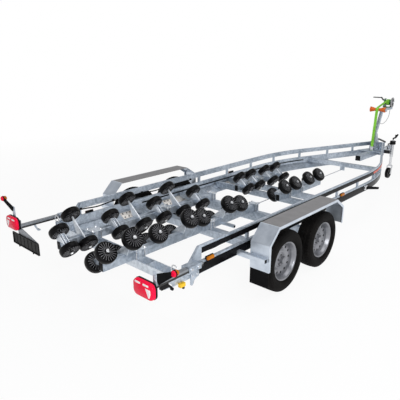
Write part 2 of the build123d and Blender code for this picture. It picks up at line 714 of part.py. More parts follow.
def bow_roller():
    """A roller with a narrow neck, its axis along Y."""
    bore = BOW_PIN_R + PIN_GAP
    neck = STRAP_HALF * 1.4
    shape = turned(((bore, -BOW_HALF), (BOW_R, -BOW_HALF), (BOW_NECK_R, -neck), (BOW_NECK_R, neck), (BOW_R, BOW_HALF),
                    (bore, BOW_HALF)))
    return Plane(origin=(BOW_X, 0, BOW_Z), z_dir=(0, 1, 0)) * shape


def winch():
    """Two cheeks with a drum, a gear ring on the right and a crank on the left."""
    foot_z = POST_HEAD_Z + BEARER_H
    top = foot_z + WINCH_H
    half_l = WINCH_L / 2
    cheek = outline((WINCH_X - half_l, foot_z), (WINCH_X + half_l, foot_z), (WINCH_X + half_l / 2, top),
                    (WINCH_X - half_l / 2, top))
    body = block(WINCH_X - half_l, WINCH_X + half_l, -WINCH_HALF, WINCH_HALF, foot_z, foot_z + WINCH_CHEEK_T)
    for y in (-WINCH_HALF, WINCH_HALF - WINCH_CHEEK_T):
        body += across(cheek, y, y + WINCH_CHEEK_T)
    body += rod((WINCH_X, -WINCH_HALF, DRUM_Z), (WINCH_X, WINCH_HALF, DRUM_Z), DRUM_HALF_R)
    body += rod((WINCH_X, -WINCH_HALF - GEAR_T, DRUM_Z), (WINCH_X, -WINCH_HALF, DRUM_Z), GEAR_R)
    shaft = (WINCH_X - half_l / 3, top - 3 * CRANK_R)
    hand = (shaft[0] - CRANK_DROP / 2, shaft[1] + CRANK_DROP / 4)
    arm_y = WINCH_HALF + 2 * CRANK_R
    ends = [Pos(*end) * Circle(CRANK_GRIP_R) for end in (shaft, hand)]
    body += across(make_hull(ends[0].edges() + ends[1].edges()), arm_y, arm_y + CRANK_R)
    body += rod((shaft[0], WINCH_HALF - WINCH_CHEEK_T / 2, shaft[1]), (shaft[0], arm_y, shaft[1]), CRANK_R)
    return body + rod((hand[0], arm_y, hand[1]), (hand[0], WINCH_HALF + CRANK_OUT, hand[1]), CRANK_R)


def strap():
    """The webbing strap from the drum over the bow roller and down to the foot plate."""
    reach = BOW_NECK_R + 3 * STRAP_T
    coil_r = DRUM_HALF_R + 4 * STRAP_T
    coil = Pos(WINCH_X, DRUM_Z) * (Circle(coil_r) - Circle(DRUM_HALF_R))
    points = ((WINCH_X, DRUM_Z + coil_r - 2 * STRAP_T), (BOW_X, BOW_Z + reach), (BOW_X - reach, BOW_Z + reach / 2),
              STRAP_FOOT)
    return across(folded(points, -STRAP_T), -STRAP_HALF, STRAP_HALF) + across(coil, -STRAP_HALF, STRAP_HALF)


def safety_cable():
    """The thin cable that hangs in a loop from the bearer's underside back to the post's front face."""
    points = [(x, 0, z) for x, z in CABLE_ROUTE]
    radii = [bend_radius(*points[k:k + 3]) for k in range(len(points) - 2)]
    print("safety cable radii", [round(r) for r in radii])
    path = FilletPolyline(*points, radius=radii)
    return sweep(Plane(origin=path @ 0, z_dir=path % 0) * Circle(CABLE_R), path=path)


def bend_radius(before, corner, after):
    """The largest arc that leaves a tenth of the shorter run straight at a corner."""
    a = Vector(*corner) - Vector(*before)
    b = Vector(*after) - Vector(*corner)
    return CABLE_SHARE * min(a.length, b.length) / tan(radians(a.get_angle(b) / 2))


# Jockey wheel

def jockey_clamp():
    """The clamp arm and the outer tube with its crank."""
    bore = STEM_R + 2 * PIN_GAP
    tube = turned(((bore, OUTER_LOW), (OUTER_R, OUTER_LOW), (OUTER_R, OUTER_TOP), (0, OUTER_TOP), (0, CAVITY_TOP),
                   (bore, CAVITY_TOP)))
    reach = -HOUSING_HALF - JOCKEY_Y
    arm = block(-STEM_R, STEM_R, bore, reach, HOUSING_LOW + STEM_R, HOUSING_TOP - STEM_R / 2)
    arm -= Pos(0, 0, HOUSING_LOW) * Cylinder((bore + OUTER_R) / 2, UPPER_TOP)
    knob = OUTER_TOP + OUTER_R
    hand = 4 * OUTER_R
    crank = rod((0, 0, OUTER_TOP), (0, 0, knob), CRANK_R) + Pos(0, 0, knob) * Sphere(CRANK_R)
    crank += rod((0, 0, knob), (hand, 0, knob), CRANK_R) + Pos(hand, 0, knob) * Sphere(CRANK_R)
    crank += rod((hand, 0, knob), (hand, 0, knob + 2 * OUTER_R), CRANK_GRIP_R)
    return Pos(JOCKEY_X, JOCKEY_Y, 0) * (tube + arm + crank)


def jockey_stem():
    """The inner tube that slides in the outer one, with a collar below."""
    low = STEM_LOW
    bar = rod((JOCKEY_X, JOCKEY_Y, low), (JOCKEY_X, JOCKEY_Y, STEM_TOP), STEM_R)
    return bar + rod((JOCKEY_X, JOCKEY_Y, low), (JOCKEY_X, JOCKEY_Y, low + SWIVEL_H / 2), SWIVEL_R)


def jockey_fork():
    """The swivelling fork, with the wheel's pin trailing behind the stem."""
    top = STEM_LOW - PIN_GAP
    wheel_x = JOCKEY_X - JOCKEY_TRAIL
    inside = JOCKEY_W / 2 + JOCKEY_ROOM
    outside = inside + FORK_PLATE_T
    body = rod((JOCKEY_X, JOCKEY_Y, top - SWIVEL_H), (JOCKEY_X, JOCKEY_Y, top), SWIVEL_R)
    body += block(JOCKEY_X - SWIVEL_R, JOCKEY_X + SWIVEL_R, JOCKEY_Y - outside, JOCKEY_Y + outside, top - SWIVEL_H,
                  top - SWIVEL_H / 2)
    leg = outline((JOCKEY_X - SWIVEL_R, top - SWIVEL_H), (JOCKEY_X + SWIVEL_R, top - SWIVEL_H),
                  (wheel_x + 2 * JOCKEY_PIN_R, JOCKEY_R - 2 * JOCKEY_PIN_R),
                  (wheel_x - 2 * JOCKEY_PIN_R, JOCKEY_R - 2 * JOCKEY_PIN_R))
    for y in (JOCKEY_Y - outside, JOCKEY_Y + inside):
        body += across(leg, y, y + FORK_PLATE_T)
    return body + rod((wheel_x, JOCKEY_Y - inside, JOCKEY_R), (wheel_x, JOCKEY_Y + inside, JOCKEY_R), JOCKEY_PIN_R)


def jockey_wheel():
    """A solid tyre on a dished disc, its axis along Y."""
    half, edge = JOCKEY_W / 2, JOCKEY_W / 2 - JOCKEY_DISH
    bore = JOCKEY_PIN_R + PIN_GAP
    hub = 3 * JOCKEY_PIN_R
    side = ((bore, half), (hub, half), (hub, edge), (JOCKEY_DISC_R, edge), (JOCKEY_DISC_R, JOCKEY_WALL),
            (JOCKEY_R - edge / 2, JOCKEY_WALL), (JOCKEY_R, edge))
    shape = turned([*side, *((r, -a) for r, a in reversed(side))])
    return Plane(origin=(JOCKEY_X - JOCKEY_TRAIL, JOCKEY_Y, JOCKEY_R), z_dir=(0, 1, 0)) * shape


# Lamp boards

def lamp_arm():
    """The square bar of a left lamp arm with the plate that the lamp is bolted to."""
    half = ARM_SIDE / 2
    back = REAR_X + LAMP_T
    bar = block(back, ARM_FRONT, ARM_Y - half, ARM_Y + half, ARM_Z - half, ARM_Z + half)
    plate = block(back, back + FORK_T, ARM_Y - LAMP_W / 3, LAMP_Y + LAMP_W / 3, ARM_Z - half, LAMP_Z + LAMP_H / 3)
    return bar + plate


def plate_bracket_left():
    """The left lamp arm's hanger, a sloped plate that reaches in and down to the number plate holder."""
    back = REAR_X + LAMP_T
    half = ARM_SIDE / 2
    plate = outline((PLATE_Y[0] + half, PLATE_Z[1] - half), (PLATE_Y[0] + half, PLATE_Z[1]),
                    (ARM_Y - half, ARM_Z + half), (ARM_Y, ARM_Z), (ARM_Y, PLATE_Z[0] + half),
                    (ARM_Y - half, PLATE_Z[0] + half))
    return along(plate, back, back + FORK_T)


def lamp(tip):
    """A left rear lamp block with a marker on a rubber arm that leads to the tip."""
    block_face = RectangleRounded(LAMP_W, LAMP_H, LAMP_ROUND)
    body = along(Pos(LAMP_Y, LAMP_Z) * block_face, REAR_X, REAR_X + LAMP_T)
    arm = rod((REAR_X + LAMP_T / 2, LAMP_Y + LAMP_W / 3, LAMP_Z), tip, MARKER_R / 2)
    x, y, z = tip
    return body + arm + rod((x - MARKER_T / 2, y, z), (x + MARKER_T / 2, y, z), MARKER_R)


def plate_holder():
    """The flat holder of the number plate, below the left lamp, with a rim round a shallow recess."""
    y0, y1 = PLATE_Y
    z0, z1 = PLATE_Z
    back = REAR_X + LAMP_T
    rim_w = PLATE_HOLDER_T / 2
    body = block(back - PLATE_HOLDER_T, back, y0, y1, z0, z1)
    return body - block(back - 2 * PLATE_HOLDER_T, back - rim_w, y0 + rim_w, y1 - rim_w, z0 + rim_w, z1 - rim_w)


def write_all():
    os.makedirs("parts", exist_ok=True)
    sided = {"rail_upper": upper_rail(), "rail_lower": lower_rail(), "mudguard": guard(), "mud_flap": flap()}
    for node, solid in sided.items():
        left, right = both(solid)
        save(f"{node}_left", left)
        save(f"{node}_right", right)
    save("lamp_left", lamp(MARKER_TIP["left"]))
    save("lamp_right", mirror(lamp(MARKER_TIP["right"]), about=Plane.XZ))
    arm_left, arm_right = both(lamp_arm())
    save("lamp_arm_left", arm_left + plate_bracket_left())
    save("lamp_arm_right", arm_right)
    save("plate_holder", plate_holder())
    for name, places in CROSS_X.items():
        save(f"cross_{name}", *(cross_member(x, CROSS_W[name], name == "rear") for x in places))
    save("beams", *(side for row in BEAM_ENDS for side in both(beam(row))))
    for row in BEAM_ENDS:
        for k, (x, spacing) in enumerate(pairs(row), start=1):
            inner, outer = roller_pair(x, spacing)
            save(f"rollers_{row}_{k}_left", inner, outer)
            save(f"rollers_{row}_{k}_right", *(mirror(s, about=Plane.XZ) for s in (inner, outer)))
    save("axles", axle(axle_x(0)), axle(axle_x(1)))
    for k, place in enumerate(("rear", "front")):
        for piece, solid in (("tyre", tyre()), ("rim", rim())):
            left, right = both(wheel_frame(axle_x(k)) * solid)
            save(f"{piece}_{place}_left", left)
            save(f"{piece}_{place}_right", right)
    save("drawbar", drawbar(), nose_cross())
    single = {"coupling": coupling() + hand_brake(), "brake_rod": brake_rod(), "winch_post": winch_post(),
 "winch": winch(), "bow_roller": bow_roller(), "winch_strap": strap(),
              "safety_cable": safety_cable(), "jockey_clamp": jockey_clamp(), "jockey_stem": jockey_stem(),
              "jockey_fork": jockey_fork(), "jockey_wheel": jockey_wheel()}
    for node, solid in single.items():
        save(node, solid)


write_all()
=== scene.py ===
# %% [markdown]
# # A boat trailer with hull rollers
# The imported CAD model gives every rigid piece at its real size. This file dresses it: finishes for all the
# pieces, and the small things a trailer carries, such as tread, strips, lenses, bolts and wiring. One frame is
# used throughout: +X forwards to the coupling, +Y to the trailer's left, +Z up, in metres.

# %% Load the frame
import json
import bmesh
import bpy
import numpy as np
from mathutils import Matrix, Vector


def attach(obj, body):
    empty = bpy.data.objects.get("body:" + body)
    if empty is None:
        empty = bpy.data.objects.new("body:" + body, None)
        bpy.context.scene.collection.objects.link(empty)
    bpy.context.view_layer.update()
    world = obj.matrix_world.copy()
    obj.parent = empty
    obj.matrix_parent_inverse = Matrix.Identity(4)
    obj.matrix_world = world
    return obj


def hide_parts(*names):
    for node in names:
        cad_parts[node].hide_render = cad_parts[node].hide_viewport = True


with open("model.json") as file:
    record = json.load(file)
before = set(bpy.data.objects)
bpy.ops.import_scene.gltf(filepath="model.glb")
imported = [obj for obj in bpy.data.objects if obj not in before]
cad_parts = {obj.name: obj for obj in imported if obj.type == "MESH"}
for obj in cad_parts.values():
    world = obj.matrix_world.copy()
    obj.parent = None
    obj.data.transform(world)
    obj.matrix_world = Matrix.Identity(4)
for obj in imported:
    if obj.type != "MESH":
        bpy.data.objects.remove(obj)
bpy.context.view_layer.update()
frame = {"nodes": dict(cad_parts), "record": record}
nodes = frame["nodes"]
MID_X = 1.8525


def at(x, y, z):
    """A place in the frame, for x measured from the middle between the axles: the frame's origin is MID_X ahead."""
    return x - MID_X, y, z


# %% [markdown]
# ## Camera
# A photograph's camera can be found by trial and error, or by fitting a pinhole camera to points whose places are
# known. The fit gave a place, two angles and a focal length in pixels, so the camera is set from those numbers.

# %% Camera
FOCAL_PX, IMAGE_PX, SENSOR_MM = 437.875, 400.0, 36.0
yaw, pitch = np.radians(42.360), np.radians(17.234)
forward = Vector((np.cos(yaw) * np.cos(pitch), np.sin(yaw) * np.cos(pitch), -np.sin(pitch)))
lens = bpy.data.cameras.new("camera")
lens.sensor_width = SENSOR_MM
lens.lens = FOCAL_PX / IMAGE_PX * SENSOR_MM
camera = bpy.data.objects.new("camera", lens)
camera.location = at(-3.9213, -3.2743, 2.2112)
camera.rotation_euler = forward.to_track_quat("-Z", "Y").to_euler()
bpy.context.scene.collection.objects.link(camera)
bpy.context.scene.camera = camera
bpy.context.scene.view_settings.view_transform = "Standard"
print("lens", round(lens.lens, 2), "mm")

# %% [markdown]
# ## Shader nodes
# Lights and finishes are trees of nodes. They can be drawn by hand in Blender's editor. Here short helpers add, feed
# and link the nodes, so that a tree reads like a formula.

# %% Node helpers
def feed(tree, made, **sockets):
    """Gives a node's sockets their values, or links where a value is another node's output. Sockets go by name, with
    __ for a space, or by number after _."""
    for key, value in sockets.items():
        socket = made.inputs[int(key[1:])] if key[0] == "_" else made.inputs[key.replace("__", " ")]
        if isinstance(value, bpy.types.NodeSocket):
            tree.links.new(value, socket)
        else:
            socket.default_value = value


def node(tree, kind, **sockets):
    """Adds a shader node and feeds its sockets."""
    made = tree.nodes.new(kind)
    feed(tree, made, **sockets)
    return made


def maths(tree, operation, a, b=0.0):
    """One step of arithmetic between two numbers or outputs."""
    made = node(tree, "ShaderNodeMath", _0=a, _1=b)
    made.operation = operation
    return made.outputs[0]


def ramp(tree, factor, *stops):
    """A colour ramp: each stop is a place from 0 to 1 and a colour."""
    made = node(tree, "ShaderNodeValToRGB", _0=factor)
    while len(made.color_ramp.elements) < len(stops):
        made.color_ramp.elements.new(0.5)
    for element, (place, colour) in zip(made.color_ramp.elements, stops):
        element.position = place
        element.color = (*colour, 1.0)
    return made.outputs[0]


print("node helpers ready")

# %% [markdown]
# ## Studio
# A product shot on white can be lit by many lamps or by one bright dome. Here the world is the dome, brightest
# at the horizon, with one wide soft lamp above and one at the side for shape. The floor is pale and keeps the shadow.

# %% World and lamps
WORLD_STRENGTH = 0.42
world = bpy.data.worlds.new("studio")
bpy.context.scene.world = world
world.use_nodes = True
tree = world.node_tree
tree.nodes.clear()
ray = node(tree, "ShaderNodeLightPath")
seen = maths(tree, "MAXIMUM", ray.outputs["Is Camera Ray"],
             maths(tree, "MAXIMUM", ray.outputs["Is Glossy Ray"], ray.outputs["Is Transmission Ray"]))
view = node(tree, "ShaderNodeTexCoord").outputs["Generated"]
height = node(tree, "ShaderNodeSeparateXYZ", Vector=view).outputs[2]
dome = ramp(tree, height, (0.0, (1.0, 1.0, 1.0)), (0.16, (1.0, 1.0, 1.0)), (0.60, (0.34, 0.34, 0.35)))
shown = node(tree, "ShaderNodeBackground", Color=dome, Strength=1.0)
light = node(tree, "ShaderNodeBackground", Color=(0.96, 0.98, 1.0, 1.0), Strength=WORLD_STRENGTH)
mixed = node(tree, "ShaderNodeMixShader", Fac=seen, _1=light.outputs[0], _2=shown.outputs[0])
node(tree, "ShaderNodeOutputWorld", Surface=mixed.outputs[0])


def lamp(name, place, target, size, watts):
    """A square area lamp at a place, turned to its target."""
    data = bpy.data.lights.new(name, "AREA")
    data.size = size
    data.energy = watts
    made = bpy.data.objects.new(name, data)
    made.location = place
    made.rotation_euler = (Vector(target) - Vector(place)).to_track_quat("-Z", "Y").to_euler()
    bpy.context.scene.collection.objects.link(made)


lamp("overhead", (-1.0, -2.0, 7.0), target=(0.0, 0.0, 0.4), size=6.0, watts=200.0)
lamp("side", (-7.0, -7.0, 3.6), target=(-1.0, 0.0, 0.5), size=4.0, watts=460.0)
print("lamps", len(bpy.data.lights))

# %% [markdown]
# ## Floor
# The floor has to look white and still show the trailer's shadow. A shadow catcher is one way. Here the floor is a
# pale surface mixed with a white glow for the rays that come from the camera, and far out only the glow is left.

# %% Floor
def start_finish(name, **sockets):
    """A material with its node tree, its shader and the object's own coordinates."""
    made = bpy.data.materials.new(name)
    made.use_nodes = True
    tree = made.node_tree
    shader = tree.nodes["Principled BSDF"]
    feed(tree, shader, **sockets)
    return made, tree, shader, node(tree, "ShaderNodeTexCoord").outputs["Object"]


floor_mat, tree, surface, here = start_finish("pale_floor", Base__Color=(0.86, 0.86, 0.86, 1.0), Roughness=0.9,
                                              Specular__IOR__Level=0.0)
ray = node(tree, "ShaderNodeLightPath")
seen = maths(tree, "MAXIMUM", ray.outputs["Is Camera Ray"], ray.outputs["Is Glossy Ray"])
flat = node(tree, "ShaderNodeVectorMath", _0=here, _1=(1.0, 1.0, 0.0))
flat.operation = "MULTIPLY"
reach = node(tree, "ShaderNodeVectorMath", _0=flat.outputs[0])
reach.operation = "LENGTH"
edge = node(tree, "ShaderNodeMapRange", Value=reach.outputs["Value"], From__Min=4.0, From__Max=10.0,
            To__Min=0.91, To__Max=1.0)
glow = node(tree, "ShaderNodeEmission", Color=(1.0, 1.0, 1.0, 1.0), Strength=1.0)
blend = node(tree, "ShaderNodeMixShader", Fac=maths(tree, "MULTIPLY", seen, edge.outputs[0]),
             _1=surface.outputs[0], _2=glow.outputs[0])
feed(tree, tree.nodes["Material Output"], Surface=blend.outputs[0])


def lattice(rows, columns, round_rows=True, round_columns=True):
    """Quads of a grid of rows by columns. A round direction joins its last line to its first."""
    index = np.arange(rows * columns).reshape(rows, columns)
    index = np.concatenate([index, index[:1]], 0) if round_rows else index
    index = np.concatenate([index, index[:, :1]], 1) if round_columns else index
    return np.stack([index[:-1, :-1], index[1:, :-1], index[1:, 1:], index[:-1, 1:]], -1).reshape(-1, 4)


FLOOR_HALF, FLOOR_LINES = 60.0, 13
lines = np.linspace(-FLOOR_HALF, FLOOR_HALF, FLOOR_LINES)
width, depth = np.meshgrid(lines, lines, indexing="ij")
floor_points = np.stack([width, depth, np.zeros_like(width)], -1).reshape(-1, 3)
floor_mesh = bpy.data.meshes.new("floor")
floor_mesh.from_pydata(floor_points.tolist(), [], lattice(FLOOR_LINES, FLOOR_LINES, False, False).tolist())
floor_mesh.materials.append(floor_mat)
floor = bpy.data.objects.new("floor", floor_mesh)
bpy.context.scene.collection.objects.link(floor)
print("floor of", 2 * FLOOR_HALF, "m")

# %% [markdown]
# ## Finishes
# Hot-dip zinc freezes in crystals, so bare galvanised steel shows a faint spangle and cloudy patches. Rubber is never
# quite black and carries dust. Each finish below is a small node tree on Object coordinates, so that the pattern has
# a real size and moves with its piece.

# %% Finish helpers
def span(tree, value, low, high):
    """Stretches a value from 0 to 1 onto low to high."""
    return node(tree, "ShaderNodeMapRange", Value=value, To__Min=low, To__Max=high).outputs[0]


def noise(tree, place, scale, detail=3.0, rough=0.55):
    """Soft random patches from 0 to 1, as many to the metre as the scale says."""
    return node(tree, "ShaderNodeTexNoise", Vector=place, Scale=scale, Detail=detail, Roughness=rough).outputs[0]


def bump(tree, shader, height, strength, distance):
    """Small relief in the shading only: the height times a distance in metres."""
    made = node(tree, "ShaderNodeBump", Height=height, Strength=strength, Distance=distance)
    feed(tree, shader, Normal=made.outputs[0])


def mix_colour(tree, factor, first, second):
    """The first colour where the factor is 0, the second where it is 1."""
    made = tree.nodes.new("ShaderNodeMix")
    made.data_type = "RGBA"
    feed(tree, made, _0=factor, _6=first, _7=second)
    return made.outputs[2]


def zinc(name, dark, pale, crystal=42.0, metal=0.8, rough=(0.30, 0.50), above=None):
    """Galvanised steel: crystals from Voronoi cells, cloudy patches from noise, both moving between two greys. Above a
    height, where one is given with two paler greys, the zinc is painted paler as painted light on the upper parts."""
    made, tree, shader, place = start_finish(name, Metallic=metal)
    cells = node(tree, "ShaderNodeTexVoronoi", Vector=place, Scale=crystal)
    cell = node(tree, "ShaderNodeSeparateColor", Color=cells.outputs["Color"]).outputs[0]
    cloud = noise(tree, place, 3.2, 5.0)
    mix = maths(tree, "ADD", maths(tree, "MULTIPLY", cell, 0.30), maths(tree, "MULTIPLY", cloud, 0.85))
    colour = ramp(tree, mix, (0.30, dark), (0.82, pale))
    if above:
        level = node(tree, "ShaderNodeSeparateXYZ", Vector=place).outputs[2]
        painted_light_colour = ramp(tree, mix, (0.30, above[1]), (0.82, above[2]))
        colour = mix_colour(tree, maths(tree, "GREATER_THAN", level, above[0]), colour, painted_light_colour)
    feed(tree, shader, Base__Color=colour, Roughness=span(tree, cell, *rough))
    bump(tree, shader, maths(tree, "ADD", cell, noise(tree, place, 160.0, 2.0)), 0.06, 0.0006)
    return made


def rubber(name, dark, dusty, rough=(0.50, 0.72), grain=420.0, dust=7.0, gloss=0.16):
    """Moulded rubber: fine grain in the bump, dust in soft patches."""
    made, tree, shader, place = start_finish(name, Specular__IOR__Level=gloss)
    patch = noise(tree, place, dust, 6.0, 0.62)
    colour = ramp(tree, patch, (0.38, dark), (0.72, dusty))
    feed(tree, shader, Base__Color=colour, Roughness=span(tree, patch, *rough))
    bump(tree, shader, noise(tree, place, grain, 2.0), 0.12, 0.0005)
    return made


def paint(name, deep, bright, rough=(0.28, 0.40), metal=0.0, coat=0.2, peel=90.0, gloss=0.3):
    """Sprayed paint: slight colour drift, an orange-peel bump and a clear top."""
    made, tree, shader, place = start_finish(name, Metallic=metal, Coat__Weight=coat, Coat__Roughness=0.15,
                                             Specular__IOR__Level=gloss)
    drift = noise(tree, place, 6.0, 4.0)
    colour = ramp(tree, drift, (0.30, deep), (0.70, bright))
    feed(tree, shader, Base__Color=colour, Roughness=span(tree, drift, *rough))
    bump(tree, shader, noise(tree, place, peel, 1.0), 0.05, 0.0006)
    return made


print("finish helpers ready")

# %% [markdown]
# ## The trailer's finishes
# The colours below are the pieces' own, as they look under plain light, except where a comment says that light or
# shade is painted in. Zinc is bluish grey, rubber almost black, and each finish moves between a darker and a paler
# tone, because one flat colour looks like plastic.

# %% Finishes
ZINC_TONES = ((0.26, 0.31, 0.37), (0.60, 0.66, 0.74))
galvanised = zinc("galvanised", *ZINC_TONES, metal=0.7, rough=(0.34, 0.54))
# The beams are painted paler above 0.592 m: painted light on their upper parts.
beam_zinc_painted_light = zinc("beam_zinc_painted_light", *ZINC_TONES, metal=0.7, rough=(0.34, 0.54),
                 above=(0.592, (0.56, 0.60, 0.65), (0.86, 0.90, 0.95)))
# A paler copy of the zinc: painted light, used on the rear cross member and the clamp plates.
zinc_painted_paler = zinc("zinc_painted_paler", (0.46, 0.51, 0.57), (0.80, 0.85, 0.91), metal=0.6, rough=(0.34, 0.54))
joint_zinc = zinc("joint_zinc", (0.58, 0.55, 0.51), (0.80, 0.77, 0.73), crystal=60.0, metal=0.5)
plated = zinc("plated", (0.56, 0.57, 0.59), (0.76, 0.77, 0.79), crystal=110.0, metal=0.95, rough=(0.22, 0.36))
cable_steel = zinc("cable_steel", (0.05, 0.05, 0.055), (0.11, 0.11, 0.12), crystal=300.0, metal=0.4)
tyre_rubber = rubber("tyre_rubber", (0.0035, 0.0032, 0.0032), (0.009, 0.008, 0.0076), gloss=0.045)
roller_rubber = rubber("roller_rubber", (0.002, 0.002, 0.0024), (0.006, 0.0057, 0.006), rough=(0.24, 0.38),
                       gloss=0.085)
# Paler rubber for the ribs' edges: a painted highlight.
rib_highlight_rubber = rubber("rib_highlight_rubber", (0.12, 0.12, 0.13), (0.23, 0.23, 0.24), rough=(0.30, 0.46), gloss=0.3)
flap_rubber = rubber("flap_rubber", (0.0025, 0.0025, 0.003), (0.007, 0.007, 0.0075), rough=(0.55, 0.70), gloss=0.05)
rim_paint = paint("rim_paint", (0.205, 0.21, 0.23), (0.315, 0.32, 0.345), metal=0.7, rough=(0.26, 0.36), coat=0.0)
strip_film = paint("strip_film", (0.003, 0.003, 0.004), (0.006, 0.006, 0.007), rough=(0.22, 0.32), coat=0.0,
                   gloss=0.06)
stripe_film = paint("stripe_film", (0.66, 0.075, 0.040), (0.78, 0.11, 0.055), rough=(0.34, 0.44), coat=0.0)
black_plastic = rubber("black_plastic", (0.003, 0.003, 0.0035), (0.008, 0.008, 0.009), rough=(0.36, 0.50),
                       grain=700.0, gloss=0.12)
orange_roll = rubber("orange_roll", (0.62, 0.11, 0.02), (0.78, 0.18, 0.03), rough=(0.34, 0.48))
red_lens = paint("red_lens", (0.80, 0.006, 0.040), (0.92, 0.010, 0.060), rough=(0.12, 0.20), coat=0.0, gloss=0.10)
amber_lens = paint("amber_lens", (0.38, 0.105, 0.003), (0.50, 0.160, 0.006), rough=(0.12, 0.20), coat=0.0, gloss=0.14)
clear_lens = paint("clear_lens", (0.80, 0.72, 0.73), (0.88, 0.82, 0.83), rough=(0.06, 0.12), coat=0.6)
yellow_plastic = paint("yellow_plastic", (0.76, 0.44, 0.010), (0.90, 0.56, 0.018), rough=(0.34, 0.46))
lime_web = rubber("lime_web", (0.20, 0.54, 0.04), (0.30, 0.70, 0.08), rough=(0.62, 0.80), grain=900.0)
STEEL_TONES = ((0.38, 0.41, 0.45), (0.60, 0.64, 0.69))
BLACK_TONES = ((0.005, 0.005, 0.0055), (0.011, 0.011, 0.012))
GREEN_TONES = ((0.010, 0.120, 0.040), (0.018, 0.190, 0.065))
GUARD_TONES = ((0.51, 0.57, 0.65), (0.72, 0.78, 0.86))
# Darker zinc for the lamp arms: painted shade.
ARM_SHADE_TONES = ((0.20, 0.215, 0.235), (0.32, 0.34, 0.37))
CLAMP_TONES = ((0.46, 0.47, 0.49), (0.66, 0.67, 0.69))
# Darker grey for the tops of the guards: painted shade.
GUARD_TOP_SHADE_TONES = ((0.19, 0.185, 0.19), (0.27, 0.265, 0.27))
print("finishes", len(bpy.data.materials))

# %% [markdown]
# ## Two finishes on one piece
# A winch is green with a black crank and gear wheel, and a coupling has black bellows and grips. Splitting such a
# piece into many objects is one way. A mask that asks whether a point lies in a box is shorter, and needs no new mesh.

# %% Finishes on the CAD nodes
def in_box(tree, place, low, high):
    """1 inside a box with its sides along the axes, 0 outside."""
    parts = node(tree, "ShaderNodeSeparateXYZ", Vector=place).outputs
    inside = 1.0
    for part, least, most in zip(parts, low, high):
        inside = maths(tree, "MULTIPLY", inside, maths(tree, "GREATER_THAN", part, least))
        inside = maths(tree, "MULTIPLY", inside, maths(tree, "LESS_THAN", part, most))
    return inside


def two_tone(name, boxes, outside, within, metal=(0.85, 0.0), rough=(0.38, 0.42)):
    """One moulding or casting in two finishes: the second one lies inside the boxes. Both drift between two tones."""
    made, tree, shader, place = start_finish(name)
    mask = 0.0
    for low, high in boxes:
        mask = maths(tree, "MAXIMUM", mask, in_box(tree, place, low, high))
    drift = noise(tree, place, 9.0, 5.0)
    tones = [ramp(tree, drift, (0.30, deep), (0.75, pale)) for deep, pale in (outside, within)]
    worn = maths(tree, "MULTIPLY", maths(tree, "SUBTRACT", drift, 0.5), 0.25)
    feed(tree, shader, Base__Color=mix_colour(tree, mask, *tones), Metallic=span(tree, mask, *metal),
         Roughness=maths(tree, "ADD", span(tree, mask, *rough), worn))
    bump(tree, shader, noise(tree, place, 260.0, 2.0), 0.06, 0.0005)
    return made


def box_at(x0, x1, y0, y1, z0, z1):
    """Two opposite corners of a box, with x measured from the middle between the axles."""
    return at(x0, y0, z0), at(x1, y1, z1)


winch_paint = two_tone("winch_paint", [box_at(5.0, 5.6, 0.071, 0.4, 1.3, 1.7),
                                       box_at(5.0, 5.6, -0.4, -0.0695, 1.3, 1.7)],
                       GREEN_TONES, BLACK_TONES, metal=(0.1, 0.0), rough=(0.34, 0.40))
coupling_metal = two_tone("coupling_metal", [box_at(5.42, 5.54, -0.1, 0.1, 0.4, 0.6),
                                             box_at(5.185, 5.7, 0.045, 0.1, 0.6, 0.8),
                                             box_at(5.58, 5.8, -0.02, 0.02, 0.556, 0.7)], STEEL_TONES, BLACK_TONES)
clamp_metal = two_tone("clamp_metal", [box_at(5.0, 5.4, -0.4, -0.2, 0.765, 0.9),
                                       box_at(5.0, 5.2, -0.23, 0.0, 0.4, 0.7)],
                       CLAMP_TONES, BLACK_TONES, metal=(0.92, 0.0), rough=(0.30, 0.42))
# The tops of the guards, from 0.764 to 0.8 m high, are painted a darker, duller grey: painted shade.
guard_sheet = two_tone("guard_sheet", [box_at(-0.62, 0.60, -1.268, 1.268, 0.764, 0.8)], GUARD_TONES, GUARD_TOP_SHADE_TONES,
                       metal=(0.8, 0.35), rough=(0.34, 0.50))
# The lamp arms are painted darker, with a black band low on their sides: painted shade.
arm_zinc_painted_shade = two_tone("arm_zinc_painted_shade", [box_at(-2.05, -1.40, y, y + 0.01, 0.57, 0.594)
                                 for y in (1.0125, 0.9675, -1.0225, -0.9775)],
                    ARM_SHADE_TONES, BLACK_TONES, metal=(0.7, 0.0))
by_slot = {"galvanised": galvanised, "guard_sheet": guard_sheet, "black_rubber": roller_rubber,
           "lamp_lens": red_lens, "tyre": tyre_rubber, "rim_paint": rim_paint, "black_plastic": black_plastic,
           "coupling_metal": coupling_metal, "zinc_rod": plated, "winch_paint": winch_paint,
           "orange_rubber": orange_roll, "strap_webbing": lime_web}
# The rear cross member takes the paler zinc that is painted light.
by_node = {"jockey_clamp": clamp_metal, "mud_flap_left": flap_rubber, "mud_flap_right": flap_rubber,
           "cross_rear": zinc_painted_paler, "beams": beam_zinc_painted_light, "lamp_arm_left": arm_zinc_painted_shade, "lamp_arm_right": arm_zinc_painted_shade}
for entry in frame["record"]["subparts"]:
    mesh = nodes[entry["node"]].data
    mesh.materials.clear()
    mesh.materials.append(by_node.get(entry["node"], by_slot[entry["material_slot"]]))

# %% [markdown]
# ## Safety cable
# A thin steel cable hangs in a loop from under the winch and goes back into the post. A cable is a length of something
# flexible, so it is a smooth curve through a few hanging points and not a bent rod.

